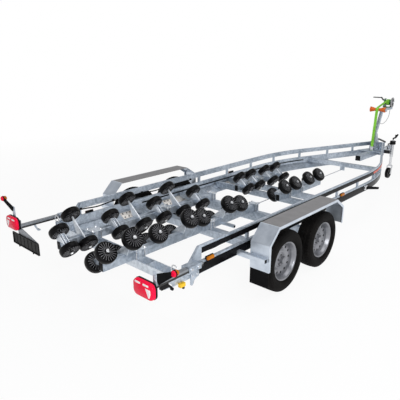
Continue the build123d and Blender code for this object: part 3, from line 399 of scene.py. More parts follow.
# %% Safety cable
ROUTE = ((5.460, 1.330), (5.460, 1.266), (5.434, 1.196), (5.380, 1.140), (5.300, 1.096), (5.205, 1.068),
         (5.105, 1.060), (5.0101, 1.0819), (4.9526, 1.110))
cable = bpy.data.curves.new("safety_cable_strand", "CURVE")
cable.dimensions = "3D"
strand = cable.splines.new("NURBS")
strand.points.add(len(ROUTE) - 1)
strand.points.foreach_set("co", np.array([(*at(x, 0.0, z), 1.0) for x, z in ROUTE]).ravel())
strand.order_u = 3
strand.use_endpoint_u = True
cable.resolution_u = 10
cable.bevel_depth = 0.004
cable.bevel_resolution = 3
cable.use_fill_caps = True
cable.materials.append(cable_steel)
cable_piece = bpy.data.objects.new("safety_cable_strand", cable)
bpy.context.scene.collection.objects.link(cable_piece)
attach(cable_piece, "frame")
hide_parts("safety_cable")
print("cable points", len(ROUTE))

# %% [markdown]
# ## Surfaces
# Every new piece is one or more surfaces on a grid: a profile turned about an axis, or a closed loop carried along a
# path. Whole arrays are worked out at once, and only the finished points and quads are handed to Blender.

# %% Surface helpers
def many(shell, places):
    """Copies of a shell, one moved to each place."""
    points, quads = shell
    places = np.asarray(places, float).reshape(-1, 3)
    lifted = np.arange(len(places))[:, None, None] * len(points) + quads
    return (places[:, None] + points).reshape(-1, 3), lifted.reshape(-1, 4)


def twin(shell):
    """The right-hand copy of a left-hand shell."""
    return shell[0] * (1, -1, 1), shell[1]


def same(shell):
    """A shell left as it is."""
    return shell


def both(*shells):
    """Shells of the left side with their right-hand copies."""
    return [*shells, *map(twin, shells)]


SIDES = {"left": same, "right": twin}


def piece(name, shells, finish, body="frame", crisp=35.0, stands_for=()):
    """A finished piece from shells: doubles merged, faces outwards, edges sharper than the crisp angle kept."""
    starts = np.cumsum([0] + [len(points) for points, quads in shells])
    points = np.concatenate([points for points, quads in shells])
    quads = np.concatenate([quads + start for (_, quads), start in zip(shells, starts)])
    mesh = bpy.data.meshes.new(name)
    mesh.from_pydata(points.tolist(), [], quads.tolist())
    work = bmesh.new()
    work.from_mesh(mesh)
    bmesh.ops.remove_doubles(work, verts=work.verts, dist=1e-6)
    bmesh.ops.recalc_face_normals(work, faces=work.faces)
    work.to_mesh(mesh)
    work.free()
    mesh.shade_smooth()
    mesh.set_sharp_from_angle(angle=np.radians(crisp))
    mesh.materials.append(finish)
    made = bpy.data.objects.new(name, mesh)
    bpy.context.scene.collection.objects.link(made)
    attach(made, body)
    if stands_for:
        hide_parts(*stands_for)
    return made


print("sides", ", ".join(SIDES))

# %% [markdown]
# ## Tyres
# A road tyre has a tread cut by grooves, and side walls with moulded rings. It could be sculpted or displaced by a
# texture. Here its radius and width are formulas of the angle and the way round the section, so the grooves are real.

# %% Tyres
TREAD_HALF, TYRE_R, SHOULDER_R, FLANGE_R, SEAT_R = 0.066, 0.325, 0.317, 0.203, 0.19
TYRE_STEPS, WALL_STEPS, TREAD_BLOCKS = 360, 26, 54
AXLES, WHEEL_Y = {"rear": -0.3815, "front": 0.3815}, 1.135


def groove(distance, half):
    """1 in a groove's floor, 0 outside, with sloped walls a quarter of its half width wide."""
    return np.clip((half - np.abs(distance)) / (0.25 * half), 0.0, 1.0)


def tyre_skin():
    """A tyre about the Y axis. Tread: radius less 7 mm in three round grooves, 5 mm in cuts on the shoulders and
    2.5 mm in slanted cuts between. Wall: swells to 94 mm from the middle at two fifths of its height, with rings."""
    a = np.linspace(0.0, 2 * np.pi, TYRE_STEPS, endpoint=False)[:, None]
    y = np.linspace(-TREAD_HALF, TREAD_HALF, 45)[None]
    depth = 0.007 * np.max([groove(y - c, 0.0045) for c in (-0.034, 0.0, 0.034)], 0)
    block = a * TREAD_BLOCKS / (2 * np.pi)
    around = (block + 6.0 * np.abs(y)) % 1.0 - 0.5
    shoulder = 0.005 * groove(around, 0.16) * (np.abs(y) > 0.041)
    middle = 0.0025 * groove((block + 16.0 * y) % 1.0 - 0.5, 0.12) * (np.abs(y) < 0.028)
    tread_r = TYRE_R - 0.004 * (y / TREAD_HALF) ** 2 - np.maximum(depth, np.maximum(shoulder, middle))
    t = np.linspace(1.0, 0.0, WALL_STEPS)
    wall_r = FLANGE_R + (SHOULDER_R - FLANGE_R) * t
    swell = np.where(t < 0.42, 0.024 * (1 - t / 0.42) ** 2, 0.020 * ((t - 0.42) / 0.58) ** 3)
    rings = sum(0.0016 * groove(wall_r - r, 0.0035) for r in (0.225, 0.272, 0.296))
    wall_y = 0.094 - swell + rings
    wall_shape = (TYRE_STEPS, WALL_STEPS)
    r = np.concatenate([tread_r, np.broadcast_to(wall_r, wall_shape), np.full((TYRE_STEPS, 2), SEAT_R),
                        np.broadcast_to(wall_r[::-1], wall_shape)], 1)
    across = np.concatenate([y[0], wall_y, (TREAD_HALF, -TREAD_HALF), -wall_y[::-1]])
    points = np.stack([r * np.cos(a), np.broadcast_to(across, r.shape), r * np.sin(a)], -1)
    return points.reshape(-1, 3), lattice(*r.shape)


skin = tyre_skin()
for end, x in AXLES.items():
    for side, sign in (("left", 1), ("right", -1)):
        piece(f"road_tyre_{end}_{side}", [many(skin, at(x, sign * WHEEL_Y, TYRE_R))], tyre_rubber,
              f"wheel_{end}_{side}", 25.0, (f"tyre_{end}_{side}",))
print("tyre points", len(skin[0]))

# %% [markdown]
# ## Wheel rims
# A pressed steel rim has a deep barrel and a wavy disc with vent holes, nuts and a hub cap. All but the vent holes and
# nuts is round, so one closed profile turned about the axle makes it. The vent holes are not cut: dark shallow discs
# on its slope are painted shade in their place.

# %% Wheel rims
RIM_PROFILE = ((0.0, 0.060), (0.024, 0.059), (0.031, 0.055), (0.034, 0.048), (0.034, 0.020), (0.040, 0.016),
               (0.058, 0.015), (0.066, 0.012), (0.078, 0.004), (0.092, 0.004), (0.112, 0.016), (0.130, 0.022),
               (0.146, 0.020), (0.158, 0.010), (0.164, 0.004), (0.168, 0.010), (0.171, 0.030), (0.173, 0.040),
               (0.181, 0.050), (0.184, 0.062), (0.190, 0.070), (0.196, 0.0745), (0.202, 0.075), (0.203, 0.072),
               (0.203, 0.066), (0.190, 0.066), (0.190, -0.066), (0.203, -0.066), (0.203, -0.075), (0.196, -0.075),
               (0.182, -0.060), (0.168, -0.040), (0.164, -0.006), (0.155, 0.000), (0.130, 0.012), (0.112, 0.006),
               (0.092, -0.006), (0.062, -0.008), (0.062, -0.012), (0.0253, -0.012), (0.0253, 0.050), (0.0, 0.050))
VENT_SHADE = ((0.0, 0.0012), (0.011, 0.0012), (0.013, 0.0), (0.013, -0.003), (0.0, -0.004))
NUT = ((0.0, 0.018), (0.007, 0.018), (0.0105, 0.014), (0.0105, 0.0), (0.0, 0.0))


def square_to(axis):
    """A unit axis and two unit vectors square to it. The first of them is level where that is possible."""
    axis = np.asarray(axis, float) / np.linalg.norm(axis)
    level = np.cross(axis, (0.0, 0.0, 1.0)) if abs(axis[2]) < 0.95 else np.array((0.0, 1.0, 0.0))
    level = level / np.linalg.norm(level)
    return axis, level, np.cross(level, axis)


def spun(profile, middle, axis, steps=48, closed=True):
    """A profile of radius and distance turned about an axis:
    middle + distance * axis + radius * (cos a * level + sin a * up), for angles a all round."""
    axis, level, up = square_to(axis)
    radius, along = np.asarray(profile, float).T
    a = np.linspace(0.0, 2 * np.pi, steps, endpoint=False)[:, None, None]
    points = np.asarray(middle) + along[:, None] * axis + radius[:, None] * (np.cos(a) * level + np.sin(a) * up)
    return points.reshape(-1, 3), lattice(steps, len(radius), True, closed)


rim_shell = spun(RIM_PROFILE, (0, 0, 0), (0, 1, 0), 72, False)


def ring_places(count, radius, y, start=0.0):
    """Places all round an axle: radius * (cos a, 0, sin a), moved out by y."""
    a = np.arange(count) * 2 * np.pi / count + start
    return radius * np.stack([np.cos(a), np.zeros(count), np.sin(a)], -1) + (0, y, 0)


# Dark discs on the slope in place of the vent holes: painted shade.
vent_shade = [spun(VENT_SHADE, place, (0, 1, 0), 14, False) for place in ring_places(12, 0.135, 0.0215)]
nut_places = ring_places(5, 0.050, 0.015, 0.3)
nuts = many(spun(NUT, (0, 0, 0), (0, 1, 0), 6, False), nut_places)
for end, x in AXLES.items():
    middle = at(x, WHEEL_Y, TYRE_R)
    for side, turn in SIDES.items():
        body = f"wheel_{end}_{side}"
        piece(f"pressed_rim_{end}_{side}", [turn(many(rim_shell, middle))], rim_paint, body, 30.0,
              (f"rim_{end}_{side}",))
        piece(f"wheel_nuts_{end}_{side}", [turn(many(nuts, middle))], cable_steel, body)
        piece(f"rim_vent_shade_{end}_{side}", [turn(many(vent, middle)) for vent in vent_shade], black_plastic, body)
print("rim points", len(RIM_PROFILE))

# %% [markdown]
# ## Hull rollers
# The hull rolls on moulded rubber wheels. Each has a crowned tread, a hub and many thin ribs across both dishes. The
# body is one turned profile. The ribs are thin bars set round the hub, dark inside, with their outer edges in a paler
# rubber that is a painted highlight.

# %% Hull rollers
TILT = np.radians(40.0)
NARROW, WIDE = 0.217, 0.362
PAIRS = {"rear": ((-1.93, NARROW), (-1.725, WIDE), (-1.329, NARROW), (-1.011, WIDE), (-0.711, NARROW),
                  (-0.396, WIDE), (-0.052, NARROW)),
         "front": ((0.906, NARROW), (1.169, NARROW), (1.524, NARROW), (1.814, NARROW))}
INNER_Y, INNER_Z, CAP_OUT = 0.209, 0.539, 0.0435
SPINDLE = np.array((0.0, np.cos(TILT), np.sin(TILT)))
RIBS = 20
roller_half = np.array([(0.0103, 0.033), (0.024, 0.033), (0.027, 0.030), (0.027, 0.006), (0.081, 0.006),
                        (0.084, 0.009), (0.084, 0.032), (0.0855, 0.033), (0.0885, 0.033), (0.094, 0.029),
                        (0.0975, 0.022), (0.0992, 0.013), (0.1, 0.004)])
roller_profile = np.concatenate([roller_half, (roller_half * (1, -1))[::-1]])


def rib_fan(low, high):
    """Ribs from hub to rim between two places along the spindle, 2.4 mm thick at the hub and 4.2 mm at the rim: the
    eight corners of a bar turned about the spindle."""
    angles = np.arange(RIBS) * 2 * np.pi / RIBS
    out = np.tile([0.026, 0.085, 0.085, 0.026], 2)
    thick = np.tile([-0.0012, -0.0021, 0.0021, 0.0012], 2)
    along = np.repeat([low, high], 4)
    axis, level, up = square_to(SPINDLE)
    ray = np.cos(angles)[:, None] * level + np.sin(angles)[:, None] * up
    beside = np.cos(angles)[:, None] * up - np.sin(angles)[:, None] * level
    points = out[None, :, None] * ray[:, None] + thick[None, :, None] * beside[:, None] + along[:, None] * axis
    quads = np.array([(0, 1, 2, 3), (4, 7, 6, 5), (0, 4, 5, 1), (1, 5, 6, 2), (2, 6, 7, 3), (3, 7, 4, 0)])
    return points.reshape(-1, 3), (np.arange(len(angles))[:, None, None] * 8 + quads).reshape(-1, 4)


RIB_BODY, RIB_EDGE = 0.0285, 0.0312
CAP = ((0.0, 0.012), (0.006, 0.0115), (0.011, 0.009), (0.0135, 0.004), (0.017, 0.0035), (0.017, 0.0), (0.0, 0.0))
roller_shells = [spun(roller_profile, (0, 0, 0), SPINDLE, 44), rib_fan(-RIB_BODY, RIB_BODY),
                 rib_fan(RIB_BODY, RIB_EDGE), rib_fan(-RIB_EDGE, -RIB_BODY)]
cap = spun(CAP, (0, 0, 0), SPINDLE, 16, False)
cap_back = (cap[0] * (1, -1, -1), cap[1])
inner_caps, outer_caps = [], []
for row, pairs in PAIRS.items():
    for k, (x, spacing) in enumerate(pairs, start=1):
        inner = np.array(at(x, INNER_Y, INNER_Z))
        ends = np.array([inner, inner + spacing * SPINDLE])
        shells = [many(shell, ends) for shell in roller_shells]
        for side, turn in SIDES.items():
            name = f"rollers_{row}_{k}_{side}"
            piece(f"turned_{name}", [turn(s) for s in shells[:2]], roller_rubber, name, 40.0, (name,))
            # The ribs' edges in the paler rubber are a painted highlight.
            piece(f"rib_highlight_edges_{name}", [turn(s) for s in shells[2:]], rib_highlight_rubber, name, 40.0)
        inner_caps.append(inner - CAP_OUT * SPINDLE)
        outer_caps.append(ends[1] + CAP_OUT * SPINDLE)
piece("spindle_nuts", both(many(cap_back, inner_caps), many(cap, outer_caps)), plated)
print("rollers", 4 * len(inner_caps))

# %% [markdown]
# ## Rail strips
# Black rubbing strips run along the outer webs of all four rails, with a red-orange stripe near the nose. A strip is a
# thin closed loop carried along the rail's line, which is straight, then bends in on a wide arc, then is straight.

# %% Rail strips
def carried(loop, path, side, up, size=1.0):
    """A closed loop carried along a path: path + size * (first * side + second * up). The ends close to a point."""
    loop, path = np.asarray(loop, float), np.asarray(path, float)
    side, up = np.broadcast_to(side, path.shape), np.broadcast_to(up, path.shape)
    size = np.broadcast_to(size, len(path))[:, None, None]
    rings = path[:, None] + size * (loop[None, :, :1] * side[:, None] + loop[None, :, 1:] * up[:, None])
    ends = np.repeat(rings[[0, -1]].mean(1, keepdims=True), len(loop), 1)
    rings = np.concatenate([ends[:1], rings, ends[1:]])
    return rings.reshape(-1, 3), lattice(len(rings), len(loop), False, True)


def round_loop(width, height, corner, steps=5):
    """A rectangle with round corners: a quarter circle about each corner's centre."""
    angle = (np.arange(4)[:, None] * np.pi / 2 + np.linspace(0.0, np.pi / 2, steps)).ravel()
    signs = np.repeat(np.array([(1, 1), (-1, 1), (-1, -1), (1, -1)]), steps, 0)
    return signs * (width / 2 - corner, height / 2 - corner) + corner * np.stack([np.cos(angle), np.sin(angle)], -1)


FACE_Y, BEND_X, BEND_R, BEND = 0.929, 2.2, 3.2, np.radians(20.0)
STRIP_PROUD, STRIPE_PROUD = 0.0005, 0.0025


def rail_line(x):
    """The left rail's outer face: y = FACE_Y up to BEND_X, then an arc of radius BEND_R through the angle BEND, then
    straight. Gives the points' y and the direction square to the face."""
    angle = np.arcsin(np.clip((x - BEND_X) / BEND_R, 0.0, np.sin(BEND)))
    past = np.clip(x - BEND_X - BEND_R * np.sin(BEND), 0.0, None)
    y = FACE_Y - BEND_R * (1 - np.cos(angle)) - past * np.tan(BEND)
    return y, np.stack([np.sin(angle), np.cos(angle), np.zeros_like(x)], -1)


def along_rail(x0, x1, inset, z, loop, steps=90, sag=0.0, bay=0.45):
    """A loop carried along the left rail at a height, moved in from the outer face by the inset. It may sag between
    clips a bay apart: the height less sag times the square of the sine of the way along the bay."""
    x = np.linspace(x0, x1, steps)
    y, outward = rail_line(x)
    path = np.stack(at(x, y, z - sag * np.sin(np.pi * (x - x0) / bay) ** 2), -1) - inset * outward
    return carried(loop, path, outward, (0.0, 0.0, 1.0))


strip = along_rail(-1.328, 4.955, -STRIP_PROUD, 0.6715, round_loop(0.005, 0.053, 0.0018))
low_strip = along_rail(-1.428, 4.955, -STRIP_PROUD, 0.504, round_loop(0.005, 0.088, 0.0018))
stripe = along_rail(2.48, 3.75, -STRIPE_PROUD, 0.672, round_loop(0.0032, 0.034, 0.0012), 40)
for side, turn in SIDES.items():
    piece(f"rail_strips_{side}", [turn(strip), turn(low_strip)], strip_film)
piece("nose_stripe_right", [twin(stripe)], stripe_film)
piece("nose_stripe_left", [stripe], stripe_film)
print("strip points", len(strip[0]))

# %% [markdown]
# ## Wiring
# A trailer's loom runs inside its rails, held by clips, so it follows the rail's line. The same carried loop makes it:
# a round one for the loom, and short wider ones for the clips.

# %% Wiring
def ring_loop(radius, steps=12):
    """A circle: radius * (cos a, sin a)."""
    a = np.linspace(0.0, 2 * np.pi, steps, endpoint=False)
    return radius * np.stack([np.cos(a), np.sin(a)], -1)


LOOM_START, LOOM_END, BAY = -1.35, 0.45, 0.45
loom = along_rail(LOOM_START, LOOM_END, 0.0365, 0.640, ring_loop(0.0075, 10), 120, sag=0.016, bay=BAY)
# A dark round strand along the inside of the left lower rail, on the left side only.
low_dark_strand = along_rail(-0.45, 3.30, 0.0360, 0.512, ring_loop(0.0080, 10))
clips = [along_rail(x - 0.012, x + 0.012, 0.0335, 0.645, round_loop(0.022, 0.024, 0.006, 3), 3)
         for x in np.arange(LOOM_START, LOOM_END + 0.05, BAY)]
piece("loom_left", [loom, low_dark_strand], flap_rubber)
piece("loom_right", [twin(loom)], flap_rubber)
piece("loom_clips", both(*clips), black_plastic)
print("loom clips", 2 * len(clips))

# %% [markdown]
# ## Rear lamps
# A rear lamp is a flat rounded box: a black body, a red lens a little smaller, and clear windows for the reversing and
# fog lights. Loops of the same round rectangle, drawn in at the front, make all of them.

# %% Rear lamps
LAMP_AT = np.array(at(-2.095, 1.04, 0.64))
lamp_loop = round_loop(0.232, 0.138, 0.045, 9)


def lamp_layer(loop, places, sizes):
    """A loop in Y and Z, drawn in as it goes back along X: places are distances behind the lamp's front."""
    path = LAMP_AT + np.array(places)[:, None] * (1, 0, 0)
    return carried(loop, path, (0.0, 1.0, 0.0), (0.0, 0.0, 1.0), np.array(sizes))


lamp_body = lamp_layer(lamp_loop, (0.048, 0.046, 0.031, 0.029), (0.95, 0.99, 1.0, 0.985))
lamp_glass = lamp_layer(lamp_loop, (0.0295, 0.013, 0.005, 0.001), (0.975, 0.965, 0.935, 0.87))
bars = [round_loop(0.062, 0.016, 0.006) + (y, 0.046) for y in (-0.055, 0.035)]
wedge = np.array([(0.085, 0.022), (0.030, 0.022), (0.062, -0.046), (0.075, -0.046), (0.088, -0.010)])
windows = [lamp_layer(loop, (0.006, 0.0012, 0.0), (1.0, 1.0, 0.985)) for loop in (*bars, wedge)]
for side, turn in SIDES.items():
    board = f"lamp_board_{side}"
    piece(f"lamp_body_{side}", [turn(lamp_body)], black_plastic, board, 40.0, (f"lamp_{side}",))
    piece(f"lamp_glass_{side}", [turn(lamp_glass)], red_lens, board, 50.0)
    piece(f"lamp_windows_{side}", [turn(w) for w in windows], clear_lens, board, 50.0)
print("windows in a lamp", len(windows))

# %% [markdown]
# ## Marker lamps
# Wide trailers carry small red and amber lamps on rubber arms, which give way when they touch something. An arm is a
# loop that shrinks along a straight line, and each lens is a domed profile turned about the lamp's axis.

# %% Marker lamps
DISC = ((0.0, -0.021), (0.018, -0.020), (0.0245, -0.014), (0.026, -0.004), (0.026, -0.0035), (0.0, -0.0035))
RING = ((0.0, -0.006), (0.0272, -0.006), (0.028, -0.003), (0.028, 0.003), (0.0272, 0.006), (0.0, 0.006))
AMBER_DEPTH, ARM_TIP, PLATE_LOW = 1.7, 0.036, 0.60
MARKERS = {"left": ((-2.070, 1.208, 0.866), (-2.046, 1.055, 0.776), 0.050),
           "right": ((-1.930, 1.208, 0.766), (-2.032, 1.128, 0.728), 0.095)}
PLATES = {"left": (1.020, 1.075, 0.810), "right": (1.105, 1.142, 0.800)}


def tapered(loop, start, end, tip):
    """A loop carried straight from start to end in nine rings, shrinking evenly to the share tip of its size."""
    start, end = np.asarray(start, float), np.asarray(end, float)
    t = np.linspace(0.0, 1.0, 9)
    return carried(loop, start + t[:, None] * (end - start), *square_to(end - start)[1:], 1.0 - (1.0 - tip) * t)


def bar(loop, start, end, bevel=0.0):
    """A straight bar: the loop from start to end, drawn in by the bevel at both ends."""
    start, end, loop = np.asarray(start, float), np.asarray(end, float), np.asarray(loop, float)
    axis, level, up = square_to(end - start)
    length = np.linalg.norm(end - start)
    near = 1.0 - bevel / np.abs(loop).max(0).min()
    along = np.array([0.0, bevel, length - bevel, length])
    return carried(loop, start + along[:, None] * axis, level, up, np.array([near, 1.0, 1.0, near]))


def lengthwise(loop, x0, x1, y, z, bevel=0.0):
    """A bar that runs along the trailer from x0 to x1."""
    return bar(loop, at(x0, y, z), at(x1, y, z), bevel)


for side, turn in SIDES.items():
    tip, base, flag = MARKERS[side]
    inner, outer, top = PLATES[side]
    board, lens_at = f"lamp_board_{side}", at(*tip)
    arm = tapered(round_loop(0.020, flag, 0.008), at(*base), lens_at, ARM_TIP / flag)
    amber_disc = [(r, -AMBER_DEPTH * a) for r, a in DISC]
    red, amber, ring = (spun(p, lens_at, (1, 0, 0), 32, False) for p in (DISC, amber_disc, RING))
    plate = lengthwise(round_loop(outer - inner, top - PLATE_LOW, 0.010), -2.046, -2.041, (inner + outer) / 2,
                       (PLATE_LOW + top) / 2, 0.0008)
    piece(f"marker_arm_{side}", [turn(arm), turn(ring)], flap_rubber, board)
    piece(f"marker_plate_{side}", [turn(plate)], galvanised, board)
    piece(f"marker_red_{side}", [turn(red)], red_lens, board)
    piece(f"marker_amber_{side}", [turn(amber)], amber_lens, board)
print("marker lenses", 2 * len(MARKERS))

# %% [markdown]
# ## Number plate holder
# The plastic holder is stiffened by ribs on its face and has two clips below that hold the plate. All of them are
# short bars with round corners, set on the CAD plate.

# %% Number plate holder
HOLDER_X, HOLDER_Z, RIB_HALF = -2.0545, 0.46, 0.006
holder_ribs = [bar(round_loop(0.004, 0.100, 0.0015), at(HOLDER_X, y - RIB_HALF, HOLDER_Z),
                   at(HOLDER_X, y + RIB_HALF, HOLDER_Z)) for y in np.linspace(0.65, 1.035, 6)]
holder_clips = [lengthwise(round_loop(0.012, 0.020, 0.004), -2.06, -2.048, y, 0.390, 0.002) for y in (0.70, 0.99)]
piece("plate_holder_ribs", holder_ribs + holder_clips, black_plastic, "lamp_board_left")
print("holder ribs", len(holder_ribs))

# %% [markdown]
# ## Clamps and bolts
# Each cradle beam is held down on its cross member by a top plate with four long bolts. One bolt is a hexagon head on
# a shank, and copies of it go to all the corners at once.

# %% Clamps and bolts
def bolt(head, height, shank, length):
    """A hexagon head with a washer, its shank reaching down along Z: profiles turned with six and more steps."""
    hexagon = ((0.0, height), (head * 0.9, height), (head, height * 0.8), (head, 0.0015), (0.0, 0.0015))
    washer = ((0.0, 0.0016), (head * 1.35, 0.0016), (head * 1.35, 0.0), (0.0, 0.0))
    stem = ((0.0, 0.0), (shank, 0.0), (shank, -length), (0.0, -length))
    return [spun(p, (0, 0, 0), (0, 0, 1), steps, False) for p, steps in ((hexagon, 6), (washer, 16), (stem, 10))]


CROSSES = ((-1.56, 0.120), (-0.553, 0.070), (0.27, 0.070), (1.037, 0.050), (1.346, 0.070))
BEAM_SIDES, CLAMP_Z, CLAMP_T, OVERHANG = (0.34, -0.34), 0.593, 0.010, 0.016
plates, corners = [], []
for x, width in CROSSES:
    half = width / 2 - 0.012
    for y in BEAM_SIDES:
        plates.append(lengthwise(round_loop(0.122, CLAMP_T, 0.003), x - half - OVERHANG, x + half + OVERHANG, y,
                                 CLAMP_Z + CLAMP_T / 2, 0.002))
        corners += [at(x + a * half, y + b * 0.046, CLAMP_Z + CLAMP_T) for a in (-1, 1) for b in (-1, 1)]
clamp_bolts = [many(shell, corners) for shell in bolt(0.0105, 0.009, 0.006, 0.096)]
# The clamp plates take the paler zinc that is painted light.
piece("clamp_plates", plates, zinc_painted_paler)
piece("clamp_bolts", clamp_bolts, plated)
print("clamp bolts", len(corners))

# %% [markdown]
# ## Tube plugs
# Open tube ends fill with water and dirt, so each cradle beam is closed by a black plug. A plug is a loop a little
# smaller than its tube, pushed into the end and left a few millimetres proud. The drawbar's open end gets a black
# square of the same kind, which is painted shade for the dark inside of the tube.

# %% Tube plugs
BEAM_ENDS = ((-1.965, -1), (0.31, 1), (0.8, -1), (1.915, 1))
plug = round_loop(0.052, 0.079, 0.006)
plugs_and_end_shade = [lengthwise(plug, x + 0.004 * s, x - 0.012 * s, y, 0.5485, 0.002) for x, s in BEAM_ENDS for y in BEAM_SIDES]
# The drawbar's black square is painted shade for the dark inside of its open end.
plugs_and_end_shade.append(lengthwise(round_loop(0.092, 0.092, 0.008), 4.089, 4.105, 0, 0.517, 0.002))
piece("tube_plugs_and_end_shade", plugs_and_end_shade, black_plastic)
print("plugs_and_end_shade", len(plugs_and_end_shade))

# %% [markdown]
# ## Side lamps and tie-down rings
# Amber lamps in black backs sit on the lower rails where the law asks for them. The rings that the boat is strapped to
# are bent from round bar: a small circle carried round a larger one.

# %% Side lamps and rings
LAMP_X = (-1.224, 1.42)
lenses = [lengthwise(round_loop(0.034, 0.032, 0.008), x - 0.045, x + 0.045, 0.9365, 0.573, 0.006) for x in LAMP_X]
backs = [lengthwise(round_loop(0.016, 0.042, 0.004), x - 0.052, x + 0.052, 0.926, 0.572, 0.003) for x in LAMP_X]
piece("side_lamps", both(*lenses), amber_lens)
piece("side_lamp_backs", both(*backs), black_plastic)


def hoop(middle, radius, wire, axis):
    """A ring of round bar: a circle of the wire's radius carried round a larger circle."""
    a = np.linspace(0.0, 2 * np.pi, 14, endpoint=False)
    return spun(np.stack([radius + wire * np.cos(a), wire * np.sin(a)], -1), middle, axis, 28)


piece("tie_rings", both(hoop(at(-1.645, 0.915, 0.597), 0.036, 0.006, (1, 0, 0))), plated)
print("side lamps", 2 * len(lenses))

# %% [markdown]
# ## Brackets and small fittings
# Hooks, bolts and a yellow locking block sit at the rails' rear ends. Flat brackets are outlines carried through their
# thickness, and the rest are short bars with round corners.

# %% Brackets and small fittings
def flat_bracket(outline, y0, y1):
    """An outline of x and z carried straight across from y0 to y1."""
    outline = np.asarray(outline, float) - (MID_X, 0.0)
    path = np.array([(0.0, y0, 0.0), (0.0, y1, 0.0)])
    return carried(outline, path, (1.0, 0.0, 0.0), (0.0, 0.0, 1.0))


def side_bolts(places, y, head=0.010):
    """Bolt heads that face outwards on the left, at places of x and z."""
    profile = ((0.0, head * 0.9), (head * 0.9, head * 0.9), (head, head * 0.7), (head, 0.0015), (head * 1.35, 0.0015),
               (head * 1.35, -0.002), (0.0, -0.002))
    return many(spun(profile, (0, 0, 0), (0, 1, 0), 6, False), [at(x, y, z) for x, z in places])


HOOK = ((-1.476, 0.500), (-1.476, 0.394), (-1.462, 0.384), (-1.446, 0.392), (-1.440, 0.420), (-1.400, 0.446),
        (-1.372, 0.452), (-1.372, 0.500))
sleeve_bolts = side_bolts(((-1.545, 0.595), (-1.465, 0.595)), 1.0212)
hook_bolts = side_bolts(((-1.455, 0.475), (-1.395, 0.475)), 0.9382, 0.008)
block = lengthwise(round_loop(0.034, 0.036, 0.005), -1.624, -1.562, 0.946, 0.448, 0.003)
knob = bar(round_loop(0.022, 0.022, 0.007), at(-1.582, 0.949, 0.432), at(-1.582, 0.952, 0.410), 0.004)
piece("rail_hooks", both(flat_bracket(HOOK, 0.9285, 0.9385)), galvanised)
piece("sleeve_bolts", both(sleeve_bolts, hook_bolts), plated)
piece("lock_block", [twin(block)], yellow_plastic)
piece("lock_knob", [twin(knob)], black_plastic)
print("hook corners", len(HOOK))

# %% [markdown]
# ## Below the lamp arms
# The right arm carries a cable box and a clamp lever, the left arm a small hook. They slide with the lamp boards, so
# they sit far enough behind the sleeves to stay clear of them when the boards are pushed in.

# %% Fittings below the lamp arms
ARM_Y = 0.995
ARM_HOOK = ((-1.878, 0.577), (-1.850, 0.520), (-1.838, 0.496), (-1.808, 0.494), (-1.808, 0.506), (-1.832, 0.510),
            (-1.858, 0.577))
arm_box = lengthwise(round_loop(0.034, 0.046, 0.006), -1.880, -1.800, ARM_Y, 0.5525, 0.004)
arm_lever = bar(round_loop(0.014, 0.018, 0.005), at(-1.812, ARM_Y, 0.560), at(-1.748, ARM_Y, 0.494), 0.003)
arm_knob = bar(ring_loop(0.013, 16), at(-1.755, 0.981, 0.494), at(-1.755, 1.009, 0.494), 0.004)
piece("arm_cable_box", [twin(s) for s in (arm_box, arm_lever, arm_knob)], black_plastic, "lamp_board_right")
piece("arm_hook", [flat_bracket(ARM_HOOK, 0.984, 1.006)], galvanised, "lamp_board_left")
print("arm hook corners", len(ARM_HOOK))

# %% [markdown]
# ## Joint plates, stubs and front stalks
# Pale plates with dark bolts lie on the rails' slanted seats where the cross members meet them, so both are turned by
# the seat's slope. Short tube stubs stand out from the beams, and rubber stalks from the rails in front.

# %% Joint plates, stubs and front stalks
SPANS = ((-0.81, -0.58), (-0.10, 0.36), (1.20, 1.48))
SEAT_Y, SEAT_Z, SEAT_COS, SEAT_SIN = 0.862, 0.4215, 0.838, 0.546
STUB_X, STUB_Z = -0.38, 0.53
HEAD = ((0.0, 0.012), (0.008, 0.012), (0.009, 0.010), (0.009, 0.0), (0.0, 0.0))
slope = np.array([(SEAT_COS, -SEAT_SIN), (SEAT_SIN, SEAT_COS)])
joints = [lengthwise(round_loop(0.100, 0.006, 0.002) @ slope, x0, x1, SEAT_Y, SEAT_Z, 0.001) for x0, x1 in SPANS]
seat_spots = [at(x, SEAT_Y - SEAT_COS * s, SEAT_Z - SEAT_SIN * s) for x0, x1 in SPANS
              for x in (x0 + 0.03, x0 + 0.09, x1 - 0.09, x1 - 0.03) for s in (-0.028, 0.028)]
heads = many(spun(HEAD, (0, 0, 0), (0, -SEAT_SIN, SEAT_COS), 6, False), seat_spots)
stub = bar(ring_loop(0.020, 20), at(STUB_X, 0.369, STUB_Z), at(STUB_X, 0.552, STUB_Z), 0.002)
# A black disc in the stub's open end: painted shade for the inside of the tube.
stub_bore_shade = bar(ring_loop(0.0145, 20), at(STUB_X, 0.545, STUB_Z), at(STUB_X, 0.5528, STUB_Z), 0.001)
grip = bar(round_loop(0.030, 0.060, 0.008), at(2.13, 0.944, 0.515), at(2.21, 0.942, 0.515), 0.004)
stalk = tapered(round_loop(0.030, 0.046, 0.012), at(2.18, 0.950, 0.512), at(2.46, 1.020, 0.462), 0.75)
stay_ends = [bar(round_loop(0.036, 0.036, 0.004), at(x, 1.2460, 0.4825), at(x, 1.2512, 0.4825), 0.001)
             for x in (-0.8065, 0.7575)]
piece("joint_plates", both(*joints), joint_zinc)
piece("joint_bolts", both(heads), cable_steel)
piece("beam_stubs", both(stub), galvanised)
piece("beam_stub_bore_shade", both(stub_bore_shade), black_plastic)
piece("stalk_grips", both(grip), plated)
piece("front_stalks", both(stalk), flap_rubber)
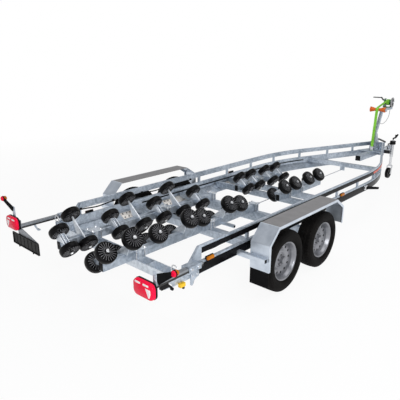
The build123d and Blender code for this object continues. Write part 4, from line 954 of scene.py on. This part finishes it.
piece("stay_ends", both(*stay_ends), black_plastic)
print("joint bolts", 2 * len(seat_spots))

# %% [markdown]
# ## Jockey and winch fittings
# The jockey wheel has a black crank and collar, the hand brake a thick grip, and the winch a toothed gear. The teeth
# are copies of one small bar set round the gear, and the rest are bars and turned profiles.

# %% Jockey and winch fittings
JOCKEY_X, JOCKEY_Y, GEAR_X, GEAR_Z, TEETH = 5.10, -0.262, 5.32, 1.478, 30
COLLAR = ((0.0325, -0.035), (0.050, -0.035), (0.054, -0.030), (0.054, 0.030), (0.050, 0.035), (0.0325, 0.035))
BOSS = ((0.0, 0.020), (0.014, 0.020), (0.020, 0.016), (0.022, 0.0), (0.0, 0.0))
crank = bar(round_loop(0.022, 0.026, 0.006), at(5.085, JOCKEY_Y, 0.797), at(5.240, JOCKEY_Y, 0.806), 0.004)
crank_grip = bar(ring_loop(0.016, 16), at(5.228, JOCKEY_Y, 0.800), at(5.228, -0.300, 0.868), 0.004)
collar = spun(COLLAR, at(JOCKEY_X, JOCKEY_Y, 0.715), (0, 0, 1), 32)
lever_grip = bar(round_loop(0.030, 0.034, 0.010), at(5.275, 0.066, 0.7225), at(5.600, 0.066, 0.628), 0.005)
tooth = bar(round_loop(0.012, 0.009, 0.002, 2), (0, 0, 0), (0, -0.010, 0), 0.001)
gear_teeth = many(tooth, ring_places(TEETH, 0.0915, -0.072) + at(GEAR_X, 0, GEAR_Z))
gear_boss = spun(BOSS, at(GEAR_X, -0.0835, GEAR_Z), (0, -1, 0), 24, False)
gear_ring = hoop(at(GEAR_X, -0.084, GEAR_Z), 0.078, 0.005, (0, 1, 0))
strap_hook = bar(round_loop(0.060, 0.016, 0.005), at(4.7065, 0, 0.5775), at(4.7150, 0, 0.660), 0.004)
piece("jockey_crank_grip", [crank, crank_grip, collar], black_plastic)
piece("brake_lever_grip", [lever_grip], black_plastic)
piece("winch_gear_teeth", [gear_teeth, gear_boss, gear_ring], plated)
piece("strap_hook", [strap_hook], plated)
print("gear teeth", TEETH)
